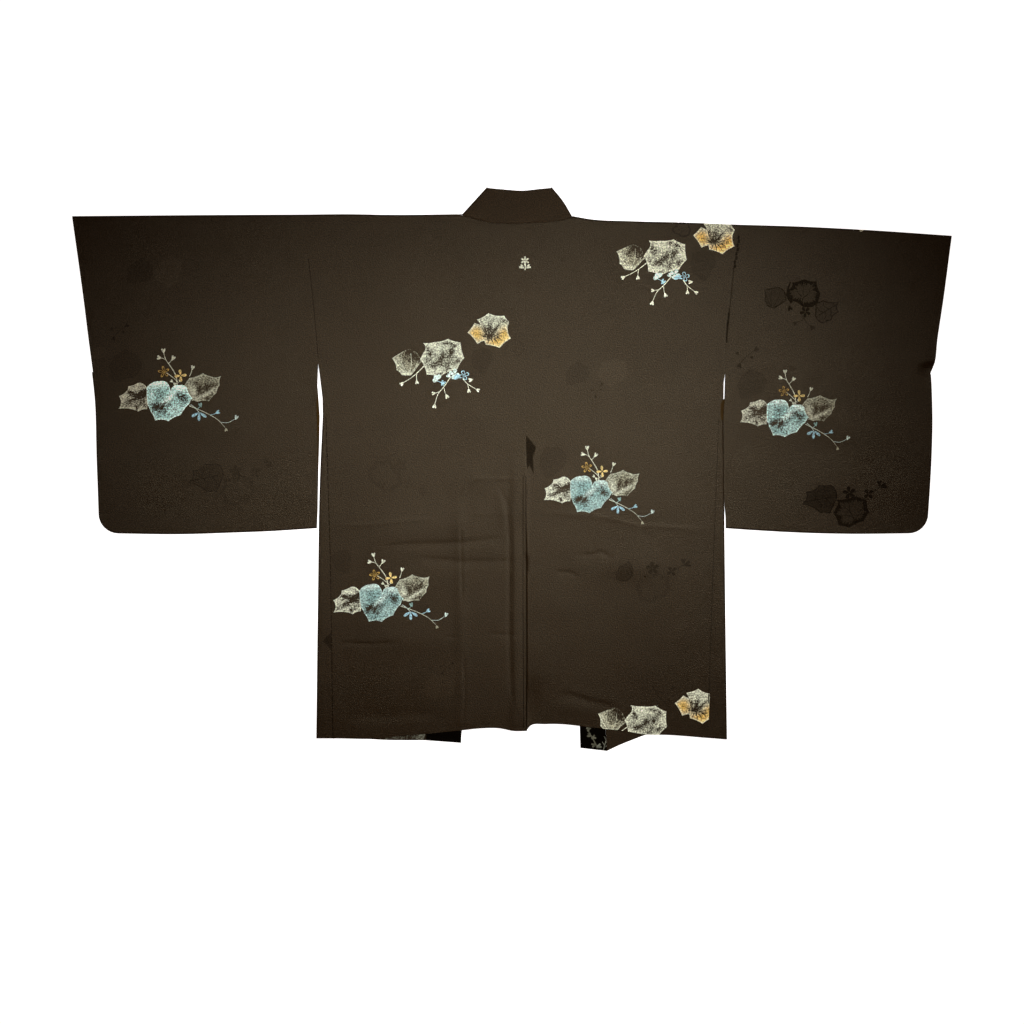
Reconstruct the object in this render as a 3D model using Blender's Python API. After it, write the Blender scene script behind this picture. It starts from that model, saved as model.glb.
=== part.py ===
"""A haori, the short lined silk jacket worn over a kimono, laid flat with its back up.

Sizes are millimetres until a piece is made. X runs across the jacket, Y up it from the hem to the neck,
and Z up from the surface that it lies on. The origin is the middle of the jacket's box, on that surface.
"Left" is the wearer's left, at -X.

The jacket lies in two layers. The fronts, the front of each sleeve and the long ends of the collar are the
lower layer, flat on the surface. The back, the back of each sleeve and the collar behind the neck are the
upper layer, whose height comes from upper_height().
"""

from collections import namedtuple

import bmesh
import bpy
import numpy as np
from mathutils import Vector

MM = 0.001

# Cloth
CLOTH = 1.2  # silk and lining together
COLLAR_CLOTH = 2.0  # the collar band is folded double over its interfacing
SEAM_GAP = 0.3

# Heights of the middle of the cloth
LOWER = CLOTH / 2
UPPER = 3.2
COLLAR_LOWER = COLLAR_CLOTH / 2
COLLAR_UPPER = 3.5

# A folded edge reaches this far past the line where its two layers start to bend
FOLD_REACH = (UPPER - LOWER) / 2 + CLOTH / 2
COLLAR_FOLD_ROOM = 2.8
COLLAR_FOLD_RISE = 1.6
FOLD_ANGLES = (45, 90, 135)

# The lines that the pieces meet on or end at, as (x, y), each from the hem up or from the middle outwards
CENTRE_SEAM = ((22.5, -390), (21, 44), (18.8, 369))
NECK_LEFT = ((18.8, 369), (-4.5, 368.5), (-34, 369.7), (-56.5, 375.7), (-76.5, 381))
NECK_RIGHT = ((18.8, 369), (47, 370.6), (72.8, 373.1), (91.5, 378))
COLLAR_TOP = ((-36, 423.4), (-12, 419.6), (16, 417.8), (42, 420.4), (57.8, 423.4))

SleeveLines = namedtuple("SleeveLines", "top opening outer corner bottom inner armhole")
BodyLines = namedtuple("BodyLines", "back_hem front_hem shoulder collar_seam collar_edge collar_end open_side")
GussetLines = namedtuple("GussetLines", "back_seam front_seam fold")
Corner = namedtuple("Corner", "x y radius")

LEFT_SLEEVE = SleeveLines(
    top=((-313.5, 382.3), (-483, 381.4), (-659.2, 379.9)),
    opening=((-628, 146), (-634.5, 194), (-642, 254), (-659.2, 379.9)),
    outer=((-620, -66), (-623.2, 29), (-625.5, 104), (-628, 146)),
    corner=Corner(-590, -66, 30),
    bottom=((-590, -96), (-498, -97.1), (-423, -94.9), (-363, -92.6), (-292.5, -88.1)),
    inner=((-292.5, -88.1), (-291, -31), (-289.5, 44), (-288.9, 80), (-294.3, 125.5), (-292.8, 179)),
    armhole=((-292.8, 179), (-301.5, 278), (-309, 332), (-313.5, 382.3)),
)
RIGHT_SLEEVE = SleeveLines(
    top=((342.6, 367), (417, 364.9), (537, 358.9), (659.2, 350.6)),
    opening=((627, 143), (633, 158), (637.5, 194), (646.5, 254), (659.2, 350.6)),
    outer=((625, -66), (629.2, 14), (630.5, 74), (629.2, 131), (627, 143)),
    corner=Corner(595, -66.5, 30),
    bottom=((595, -96.5), (507, -97.1), (432, -94.9), (376.5, -91.9), (320.5, -88.1)),
    inner=((320.5, -88.1), (320, -31), (319.5, 44), (319.3, 105), (320.1, 166)),
    armhole=((320.1, 166), (327.8, 260), (333, 316), (337.2, 345.4), (342.6, 367)),
)

LEFT_BODY = BodyLines(
    back_hem=((22.5, -391.9), (1.5, -391.9), (-18, -388.1), (-48, -388.1), (-76.5, -391.1), (-129, -396.1),
              (-171, -399.5), (-187.5, -402.1), (-269.2, -403.1)),
    front_hem=((-129, -406), (-187.5, -405.6), (-235, -403), (-258.5, -402)),
    shoulder=((-76.5, 382.9), (-183, 381.9), (-243, 382.9), (-313.5, 382.3)),
    collar_seam=((-129, -406), (-76.5, 381)),
    collar_edge=((-76.5, -409.9), (-34.7, 200), (-23.5, 360), (-25, 388), (-36, 423.4)),
    collar_end=((-129, -406), (-76.5, -409.9)),
    open_side=((-279.8, 82), (-289, 150), (-292.8, 179)),
)
RIGHT_BODY = BodyLines(
    back_hem=((22.5, -385.1), (51, -381.7), (79.5, -382.1), (103.5, -384.7), (136, -388.4), (166, -391.6),
              (201, -397.1), (232.5, -397.9), (294, -402.4)),
    front_hem=((142.5, -422), (162, -412.9), (184.5, -403.9), (201, -397.9), (232.5, -397), (284, -402)),
    shoulder=((91.5, 379.9), (117, 375.4), (177, 372.4), (267, 370.1), (342.6, 367)),
    collar_seam=((142.5, -422), (91.5, 378)),
    collar_edge=((102, -417.4), (52, 200), (38.5, 360), (42, 390), (57.8, 423.4)),
    collar_end=((142.5, -423.4), (102, -417.4)),
    open_side=((313.6, 74), (318.3, 144), (320.1, 166)),
)

LEFT_GUSSET = GussetLines(
    back_seam=((-269.2, -403.1), (-273, -136), (-279.8, 82)),
    front_seam=((-258.5, -402), (-268, 82)),
    fold=((-293.5, -403.1), (-291, -196), (-288, -16), (-283.4, 82)),
)
RIGHT_GUSSET = GussetLines(
    back_seam=((294, -402.4), (304, -121), (313.6, 74)),
    front_seam=((284, -402), (301.5, 74)),
    fold=((322.5, -404.6), (319.8, -196), (318, -16), (317.3, 74)),
)

# How many strips of cloth each line is divided into
GUSSET_ROWS, OPEN_ROWS, ARMHOLE_ROWS = 16, 3, 7
BACK_ROWS = GUSSET_ROWS + OPEN_ROWS + ARMHOLE_ROWS
FRONT_ROWS = (8, 3, ARMHOLE_ROWS)  # beside the gusset, the open side and the armhole
SLEEVE_ROWS = ARMHOLE_ROWS + 9
SLEEVE_COLUMNS = 13
CORNER_STRIPS = 2  # of the rows, and as many of the columns, lie round the sleeve's corner
NECK_SHARES = (0, 0.02, 0.055, 0.1, 0.155, 0.22, 0.34, 0.62, 1)  # crowded at the raised centre seam
SHOULDER_COLUMNS = 8
COLLAR_ACROSS = 4
COLLAR_END_ROWS = 16

# Broad swells of the upper layer
Swell = namedtuple("Swell", "x y across up height")
SWELLS = (
    Swell(-470, 140, 160, 215, 2.0),
    Swell(480, 132, 145, 205, 2.0),
    Swell(-185, -130, 95, 255, 1.2),
    Swell(215, -130, 95, 255, 1.2),
    Swell(-190, 250, 100, 118, 1.2),
    Swell(212, 240, 98, 112, 1.2),
)

# Folds of the upper layer, each along a line, with a soft slope on either side of it
Fold = namedtuple("Fold", "x0 y0 x1 y1 height left_width right_width fade")
FOLDS = (
    Fold(12.5, 30, 13.5, -420, 2.4, 9, 4.5, 60),  # the seam allowance pressed up along the centre seam
    Fold(-19, -18, -4, -110, 0.8, 9, 9, 50),
    Fold(-79, -30, -74, -420, 0.5, 8, 10, 60),  # over the edge of the left collar
    Fold(-250, -104, -30, -78, 1.0, 18, 22, 70),  # across the back below the sleeves
    Fold(70, -132, 260, -160, 0.9, 20, 24, 70),
    Fold(-262, -258, -70, -250, 0.7, 18, 24, 60),  # across the back near the hem
    Fold(30, -350, 150, -358, 0.9, 16, 22, 60),
)

SILK_COLOUR = (0.030, 0.023, 0.015, 1)
SILK_ROUGHNESS = 0.62
COLLAR_ROUGHNESS = 0.55


def smooth(share):
    share = np.clip(share, 0, 1)
    return share * share * (3 - 2 * share)


def fold_height(fold, x, y):
    run = np.array((fold.x1 - fold.x0, fold.y1 - fold.y0), float)
    length = np.hypot(*run)
    run /= length
    along = (x - fold.x0) * run[0] + (y - fold.y0) * run[1]
    # Positive on the side of larger x for a fold that runs down the jacket
    aside = (y - fold.y0) * run[0] - (x - fold.x0) * run[1]
    width = fold.right_width if aside > 0 else fold.left_width
    ends = smooth(along / fold.fade) * smooth((length - along) / fold.fade)
    return fold.height * ends * np.exp(-((aside / width) ** 2))


def upper_height(x, y):
    """The height of the middle of the upper layer."""
    height = UPPER
    for swell in SWELLS:
        inside = 1 - ((x - swell.x) / swell.across) ** 2 - ((y - swell.y) / swell.up) ** 2
        height += swell.height * max(inside, 0) ** 2
    return height + sum(fold_height(fold, x, y) for fold in FOLDS)


def lower_height(x, y):
    return LOWER


def spaced(line, shares):
    """The points at these shares of a line's length."""
    line = np.array(line, float)
    reach = np.concatenate([[0], np.cumsum(np.linalg.norm(np.diff(line, axis=0), axis=1))])
    at = np.array(shares) * reach[-1]
    return np.column_stack([np.interp(at, reach, line[:, k]) for k in (0, 1)])


def even(count):
    return np.linspace(0, 1, count + 1)


def chain(*parts):
    """One run of points through several (line, shares) parts, each starting where the one before ended."""
    runs = [spaced(line, shares) for line, shares in parts]
    return np.concatenate([runs[0]] + [run[1:] for run in runs[1:]])


def moved(line, x=0.0, y=0.0):
    return [(p[0] + x, p[1] + y) for p in line]


def arc(corner, from_degrees, to_degrees, reach=0.0):
    """A quarter or less of the sleeve's round corner, drawn in by reach."""
    angles = np.radians(np.linspace(from_degrees, to_degrees, 5))
    radius = corner.radius - reach
    return [(corner.x + radius * np.cos(a), corner.y + radius * np.sin(a)) for a in angles]


def shares_of(points):
    reach = np.concatenate([[0], np.cumsum(np.linalg.norm(np.diff(points, axis=0), axis=1))])
    return reach / reach[-1]


def patch(bottom, top, first, last):
    """Rows of points, bottom to top, that fill the space between four runs of points."""
    across = shares_of(bottom)[:, None]
    rows = []
    for up, start, end in zip(shares_of(first), first, last, strict=True):
        between = (1 - up) * bottom + up * top + (1 - across) * start + across * end
        corners = (1 - up) * ((1 - across) * bottom[0] + across * bottom[-1])
        corners += up * ((1 - across) * top[0] + across * top[-1])
        rows.append(between - corners)
    return rows


class Piece:
    """One cut piece of cloth, modelled as a sheet halfway through it that Solidify then thickens."""

    def __init__(self):
        self.bm = bmesh.new()

    def sheet(self, rows, height):
        """Rows of points at the height that a function of x and y gives."""
        return [[self.bm.verts.new((x, y, height(x, y))) for x, y in row] for row in rows]

    def weave(self, rows):
        """Faces between neighbouring rows, matched at the rows' last points."""
        for low, high in zip(rows, rows[1:]):
            shared = min(len(low), len(high))
            low, high = low[-shared:], high[-shared:]
            for corners in zip(low, low[1:], high[1:], high):
                self.bm.faces.new(corners)

    def fold(self, over, under, side):
        """Rounds the cloth over a folded edge, from the upper layer's points to the lower layer's."""
        rows = [[] for _ in FOLD_ANGLES]
        for i, (top, low) in enumerate(zip(over, under, strict=True)):
            run = over[min(i + 1, len(over) - 1)].co - over[max(i - 1, 0)].co
            out = Vector((run.y, -run.x, 0)).normalized() * side
            centre = (top.co + low.co) / 2
            radius = (top.co.z - low.co.z) / 2
            for row, angle in zip(rows, np.radians(FOLD_ANGLES), strict=True):
                way = Vector((0, 0, np.cos(angle))) + out * np.sin(angle)
                row.append(self.bm.verts.new(centre + way * radius))
        self.weave([over, *rows, under])

    def make(self, name, cloth, material):
        bmesh.ops.scale(self.bm, verts=self.bm.verts[:], vec=(MM, MM, MM))
        bmesh.ops.recalc_face_normals(self.bm, faces=self.bm.faces[:])
        mesh = bpy.data.meshes.new(name)
        self.bm.to_mesh(mesh)
        self.bm.free()
        mesh.shade_smooth()
        mesh.materials.append(material)
        piece = bpy.data.objects.new(name, mesh)
        bpy.context.scene.collection.objects.link(piece)
        wall = piece.modifiers.new("wall", "SOLIDIFY")
        wall.thickness = cloth * MM
        wall.offset = 0
        wall.use_even_offset = True
        return piece


def body(name, lines, gusset, sleeve, neck, side, material):
    """Half of the back and the front of the same side, one length of cloth that turns over the shoulder."""
    gap = side * SEAM_GAP / 2
    shoulder = moved(lines.shoulder, y=-FOLD_REACH)
    shoulder[0] = neck[-1]
    armhole = moved(sleeve.armhole, x=-gap)
    armhole[-1] = shoulder[-1] = (shoulder[-1][0] - gap, shoulder[-1][1])
    neck_line = spaced(neck, NECK_SHARES) - (0, SEAM_GAP / 2)
    neck_line[-1] = neck[-1]
    neck_line[0][0] += gap
    top = np.concatenate([neck_line[:-1], spaced(shoulder, even(SHOULDER_COLUMNS))])
    hem = spaced(moved(lines.back_hem, x=-gap), shares_of(top))
    hem[0][0] += 2 * gap
    centre = chain((moved(CENTRE_SEAM, x=gap), even(BACK_ROWS)))
    centre[0], centre[-1] = hem[0], top[0]
    side_line = chain(
        (moved(gusset.back_seam, x=-gap), even(GUSSET_ROWS)),
        (moved(lines.open_side, x=-gap), even(OPEN_ROWS)),
        (armhole, even(ARMHOLE_ROWS)),
    )
    side_line[0] = hem[-1]
    back = patch(hem, top, centre, side_line)

    beside_gusset, beside_opening, beside_armhole = FRONT_ROWS
    front_side = chain(
        (moved(gusset.front_seam, x=-gap), even(beside_gusset)),
        (moved([gusset.front_seam[-1], *lines.open_side[1:]], x=-gap), even(beside_opening)),
        (armhole, even(beside_armhole)),
    )
    front_top = top[-SHOULDER_COLUMNS - 1:]
    front_hem = spaced(lines.front_hem, shares_of(front_top))
    front_hem[0][0] += gap
    front_hem[-1] = front_side[0]
    collar_side = spaced(moved(lines.collar_seam, x=gap), shares_of(front_side))
    collar_side[0], collar_side[-1] = front_hem[0], front_top[0]
    front = patch(front_hem, front_top, collar_side, front_side)

    piece = Piece()
    upper = piece.sheet(back, upper_height)
    lower = piece.sheet(front, lower_height)
    piece.weave(upper)
    piece.weave(lower)
    piece.fold(upper[-1][-SHOULDER_COLUMNS - 1:], lower[-1], -side)
    return piece.make(name, CLOTH, material)


def sleeve(name, lines, side, material):
    """One length of cloth folded at the shoulder and sewn along its bottom and below the hand's opening."""
    reach = side * FOLD_REACH
    gap = side * SEAM_GAP / 2
    outer_start, bottom_start = (0, -45) if side > 0 else (180, 225)
    corner_top = arc(lines.corner, 225 if side < 0 else -45, outer_start, FOLD_REACH)
    corner_bottom = arc(lines.corner, bottom_start, 270 if side < 0 else -90, FOLD_REACH)
    sewn_rows = SLEEVE_ROWS - ARMHOLE_ROWS - CORNER_STRIPS
    outer_line = [corner_top[-1], *moved(lines.outer, x=-reach)[1:-1], lines.outer[-1]]
    top_line = moved(lines.top, x=gap, y=-FOLD_REACH)
    top_line[-1] = (lines.top[-1][0], top_line[-1][1])
    opening_line = [*lines.opening[:-1], top_line[-1]]
    outer = chain(
        (corner_top, even(CORNER_STRIPS)),
        (outer_line, even(sewn_rows)),
        (opening_line, even(ARMHOLE_ROWS)),
    )
    bottom_line = [corner_bottom[-1], *moved(lines.bottom, y=FOLD_REACH)[1:]]
    bottom = chain(
        (bottom_line[::-1], even(SLEEVE_COLUMNS - CORNER_STRIPS)),
        (corner_bottom[::-1], even(CORNER_STRIPS)),
    )
    bottom[0][0] += gap
    inner_line = moved(lines.inner, x=gap)
    inner_line[0] = bottom[0]
    armhole = moved(lines.armhole, x=gap)
    armhole[-1] = top_line[0]
    inner = chain((inner_line, even(SLEEVE_ROWS - ARMHOLE_ROWS)), (armhole, even(ARMHOLE_ROWS)))
    rows = patch(bottom, spaced(top_line, shares_of(bottom)), inner, outer)

    piece = Piece()
    upper = piece.sheet(rows, upper_height)
    lower = piece.sheet(rows, lower_height)
    piece.weave(upper)
    piece.weave(lower)
    piece.fold(upper[-1], lower[-1], -side)
    sewn = SLEEVE_ROWS - ARMHOLE_ROWS
    over, under = (
        [row[-1] for row in layer[sewn:0:-1]] + layer[0][::-1] for layer in (upper, lower)
    )
    piece.fold(over, under, -side)
    return piece.make(name, CLOTH, material)


def gusset(name, lines, side, material):
    """The long wedge of cloth let in between the back and the front, folded along the jacket's side."""
    gap = side * SEAM_GAP / 2
    fold_line = spaced(moved(lines.fold, x=-side * FOLD_REACH), even(GUSSET_ROWS))
    back_seam = spaced(moved(lines.back_seam, x=gap), even(GUSSET_ROWS))
    front_seam = spaced(moved(lines.front_seam, x=gap), even(GUSSET_ROWS))
    piece = Piece()
    upper = piece.sheet([back_seam, fold_line], upper_height)
    lower = piece.sheet([fold_line, front_seam], lower_height)
    piece.weave(upper)
    piece.weave(lower)
    piece.fold(upper[-1], lower[0], side)
    return piece.make(name, CLOTH, material)


def collar(name, material):
    """The band round the neck: one layer behind the neck, turned under at each side to run down a front."""
    necks, fold_lines = [], []
    for neck, lines in ((NECK_LEFT, LEFT_BODY), (NECK_RIGHT, RIGHT_BODY)):
        points = spaced(neck, NECK_SHARES) + (0, SEAM_GAP / 2)
        back_along = points[-2] - points[-1]
        points[-1] += back_along * COLLAR_FOLD_ROOM / np.linalg.norm(back_along)
        necks.append(points)
        high = np.array(lines.collar_edge[-1]) - (0, COLLAR_FOLD_RISE)
        fold_lines.append(spaced([points[-1], high], even(COLLAR_ACROSS)))
    neck = np.concatenate([necks[0][::-1], necks[1][1:]])
    top = [fold_lines[0][-1], *COLLAR_TOP[1:-1], fold_lines[1][-1]]
    rows = patch(neck, spaced(top, shares_of(neck)), *fold_lines)

    piece = Piece()
    behind_neck = piece.sheet(rows, lambda x, y: COLLAR_UPPER)
    piece.weave(behind_neck)
    for lines, side, column, fold_line in (
        (LEFT_BODY, -1, 0, fold_lines[0]), (RIGHT_BODY, 1, -1, fold_lines[1]),
    ):
        seam = moved(lines.collar_seam, x=-side * SEAM_GAP / 2)
        seam_line = spaced([fold_line[0], seam[0]], even(COLLAR_END_ROWS))
        edge_line = spaced([fold_line[-1], *lines.collar_edge[-2::-1]], even(COLLAR_END_ROWS))
        end_line = spaced([seam[0], lines.collar_end[-1]], even(COLLAR_ACROSS))
        end = patch(fold_line, end_line, seam_line, edge_line)
        lower = piece.sheet(end, lambda x, y: COLLAR_LOWER)
        piece.weave(lower)
        piece.fold([row[column] for row in behind_neck], lower[0], side)
    return piece.make(name, COLLAR_CLOTH, material)


def silk(name, roughness):
    material = bpy.data.materials.new(name)
    material.use_nodes = True
    shader = material.node_tree.nodes["Principled BSDF"]
    shader.inputs["Base Color"].default_value = SILK_COLOUR
    shader.inputs["Roughness"].default_value = roughness
    return material


def main():
    for leftover in list(bpy.data.objects):
        bpy.data.objects.remove(leftover)
    panel_silk = silk("panel_silk", SILK_ROUGHNESS)
    collar_silk = silk("collar_silk", COLLAR_ROUGHNESS)
    body("body_left", LEFT_BODY, LEFT_GUSSET, LEFT_SLEEVE, NECK_LEFT, -1, panel_silk)
    body("body_right", RIGHT_BODY, RIGHT_GUSSET, RIGHT_SLEEVE, NECK_RIGHT, 1, panel_silk)
    sleeve("sleeve_left", LEFT_SLEEVE, -1, panel_silk)
    sleeve("sleeve_right", RIGHT_SLEEVE, 1, panel_silk)
    gusset("gusset_left", LEFT_GUSSET, -1, panel_silk)
    gusset("gusset_right", RIGHT_GUSSET, 1, panel_silk)
    collar("collar", collar_silk)


main()
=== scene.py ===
"""A haori laid flat on a white floor, back up: its silk, its printed sprays, the light and the camera.

The tables are in millimetres, and each piece is scaled to metres as it is made. X runs across the jacket,
Y up it from the hem to the neck, and Z up from the floor. Each piece of cloth is first drawn flat, as it
was cut, with the prints on it, and then laid: its back is the upper layer, and past the folded edge it
carries on as the lower one.
"""

from collections import namedtuple

import bmesh
import bpy
import numpy as np
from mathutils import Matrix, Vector
from mathutils.geometry import delaunay_2d_cdt


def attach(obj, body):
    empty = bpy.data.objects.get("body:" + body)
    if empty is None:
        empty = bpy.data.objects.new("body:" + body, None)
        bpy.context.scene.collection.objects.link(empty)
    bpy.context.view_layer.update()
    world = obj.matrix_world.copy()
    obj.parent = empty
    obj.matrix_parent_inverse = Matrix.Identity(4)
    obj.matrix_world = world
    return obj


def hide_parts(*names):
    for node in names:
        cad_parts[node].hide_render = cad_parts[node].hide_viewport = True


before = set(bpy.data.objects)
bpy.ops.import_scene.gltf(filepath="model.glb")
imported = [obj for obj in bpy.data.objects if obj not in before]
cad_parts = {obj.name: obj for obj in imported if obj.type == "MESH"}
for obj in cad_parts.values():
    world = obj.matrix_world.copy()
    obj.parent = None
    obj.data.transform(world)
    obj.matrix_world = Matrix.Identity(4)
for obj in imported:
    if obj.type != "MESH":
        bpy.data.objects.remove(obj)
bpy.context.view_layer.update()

MM = 0.001

# ---------------------------------------------------------------- the cut and how it lies

CLOTH = 1.2
COLLAR_CLOTH = 2.0
LOWER = CLOTH / 2
UPPER = 3.2
COLLAR_LOWER = COLLAR_CLOTH / 2
COLLAR_UPPER = 3.5
BEND = (UPPER - LOWER) / 2  # radius of a folded edge, at the middle of the cloth
BEND_RUN = np.pi * BEND
BEND_ROWS = 6
FOLD_REACH = BEND + CLOTH / 2
COLLAR_FOLD_ROOM = 2.8
COLLAR_FOLD_RISE = 1.6
COLLAR_BULGE = 2.0  # of the right slanted edge, outwards
COLLAR_DIP, COLLAR_DIP_WIDTH = 0.22, 0.9
NECK_TONGUE = 1.8

CENTRE_SEAM = ((22.5, -390), (21, 44), (18.8, 369))
NECK_LEFT = ((18.8, 369), (-4.5, 368.5), (-34, 369.7), (-56.5, 375.7), (-76.5, 381))
NECK_RIGHT = ((18.8, 369), (47, 370.6), (72.8, 373.1), (91.5, 378))
COLLAR_TOP = ((-36, 423.4), (-12, 419.6), (16, 417.8), (42, 420.4), (57.8, 423.4))

SleeveLines = namedtuple("SleeveLines", "top opening outer corner bottom inner under_inner armhole")
BodyLines = namedtuple(
    "BodyLines", "back_hem front_hem shoulder collar_seam collar_edge collar_end open_side under_open_side",
)
GussetLines = namedtuple("GussetLines", "back_seam front_seam fold")
Corner = namedtuple("Corner", "x y radius")

LEFT_SLEEVE = SleeveLines(
    top=((-313.5, 382.3), (-483, 381.4), (-659.2, 379.9)),
    opening=((-628, 146), (-634.5, 194), (-642, 254), (-659.2, 379.9)),
    outer=((-620, -66), (-623.2, 29), (-625.5, 104), (-628, 146)),
    corner=Corner(-590, -66, 30),
    bottom=((-590, -96), (-498, -97.1), (-423, -94.9), (-363, -92.6), (-292.5, -88.1)),
    inner=((-292.4, -60), (-292.2, -31), (-291.8, 5), (-292, 44), (-293, 80), (-293.4, 100), (-292.6, 126),
           (-290.6, 160)),
    under_inner=((-291.4, -60), (-291, -31), (-290.2, 5), (-289, 44), (-288.4, 80), (-290, 104),
                 (-291.8, 126), (-290.6, 160)),
    armhole=((-290.6, 160), (-293.2, 186), (-301.5, 278), (-309, 332), (-313.5, 382.3)),
)
RIGHT_SLEEVE = SleeveLines(
    top=((342.6, 367), (417, 364.9), (537, 358.9), (659.2, 350.6)),
    opening=((627, 143), (633, 158), (637.5, 194), (646.5, 254), (659.2, 350.6)),
    outer=((625, -66), (629.2, 14), (630.5, 74), (629.2, 131), (627, 143)),
    corner=Corner(595, -66.5, 30),
    bottom=((595, -96.5), (507, -97.1), (432, -94.9), (376.5, -91.9), (320.5, -88.1)),
    inner=((320.2, -72), (318.4, -54), (317.7, -30), (317.2, 10), (316.9, 50), (316.8, 74), (317.6, 92),
           (319.3, 106), (319.5, 146)),
    under_inner=((320.2, -60), (319.6, -16), (319, 50), (318.8, 73.6), (311.5, 74.4), (311.5, 103),
                 (318.4, 106), (319.5, 146)),
    armhole=((319.5, 146), (319.8, 180), (321.6, 215), (326.4, 256), (330.6, 300), (334.8, 324),
             (338.4, 350), (342.6, 367)),
)
LEFT_BODY = BodyLines(
    back_hem=((22.5, -391.9), (1.5, -391.9), (-18, -388.1), (-48, -388.1), (-76.5, -391.1), (-129, -396.1),
              (-171, -399.5), (-187.5, -402.1), (-269.2, -403.1)),
    front_hem=((-129, -406), (-187.5, -405.6), (-235, -403), (-258.5, -402)),
    shoulder=((-76.5, 382.9), (-183, 381.9), (-243, 382.9), (-313.5, 382.3)),
    collar_seam=((-129, -406), (-76.5, 381)),
    collar_edge=((-76.5, -409.9), (-34.7, 200), (-23.5, 360), (-25, 388), (-36, 423.4)),
    collar_end=((-129, -406), (-76.5, -409.9)),
    open_side=((-279.8, 82), (-283.6, 84.1), (-284, 106), (-286.4, 127), (-290.6, 160)),
    under_open_side=((-268, 82), (-279, 112), (-285, 128), (-290.6, 160)),
)
RIGHT_BODY = BodyLines(
    back_hem=((22.5, -390.5), (24, -388.4), (26.5, -385), (51, -381.7), (79.5, -382.1), (103.5, -384.7),
              (136, -388.4), (166, -391.6), (201, -397.1), (232.5, -397.9), (294, -402.4)),
    front_hem=((142.5, -422), (162, -412.9), (184.5, -403.9), (201, -397.9), (232.5, -397), (284, -402)),
    shoulder=((91.5, 379.9), (117, 375.4), (177, 372.4), (267, 370.1), (342.6, 367)),
    collar_seam=((142.5, -422), (91.5, 378)),
    collar_edge=((102.6, -417.4), (101.6, -384), (52, 200), (38.5, 360), (42, 390), (57.8, 423.4)),
    collar_end=((142.5, -423.4), (102.6, -417.4)),
    open_side=((313.6, 74), (312.6, 80), (312.4, 98), (317, 106), (317.4, 130), (319.5, 146)),
    under_open_side=((301.5, 74), (308, 96), (316.4, 108), (317.6, 130), (319.5, 146)),
)
LEFT_GUSSET = GussetLines(
    back_seam=((-269.2, -403.1), (-273, -136), (-279.8, 82)),
    front_seam=((-258.5, -402), (-268, 82)),
    fold=((-293.5, -403.1), (-291, -196), (-288, -16), (-283.6, 84)),
)
RIGHT_GUSSET = GussetLines(
    back_seam=((294, -402.4), (304, -121), (313.6, 74)),
    front_seam=((284, -402), (301.5, 74)),
    fold=((322.5, -404.6), (319.8, -196), (318, -16), (317.3, 74)),
)

# ---------------------------------------------------------------- folds and creases of the upper layer

Swell = namedtuple("Swell", "x y across up height")
SWELLS = (
    Swell(-470, 140, 160, 215, 2.0),
    Swell(480, 132, 145, 205, 2.0),
    Swell(-185, -130, 95, 255, 1.2),
    Swell(215, -130, 95, 255, 1.2),
    Swell(-190, 250, 100, 118, 1.2),
    Swell(212, 240, 98, 112, 1.2),
    Swell(-170, 392, 170, 105, -0.9),  # the shoulder and the sleeve's corners lie lower
    Swell(668, 345, 140, 130, -1.25),
    Swell(560, -104, 190, 95, -1.25),
    Swell(640, -60, 60, 130, -0.9),
)

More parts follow.
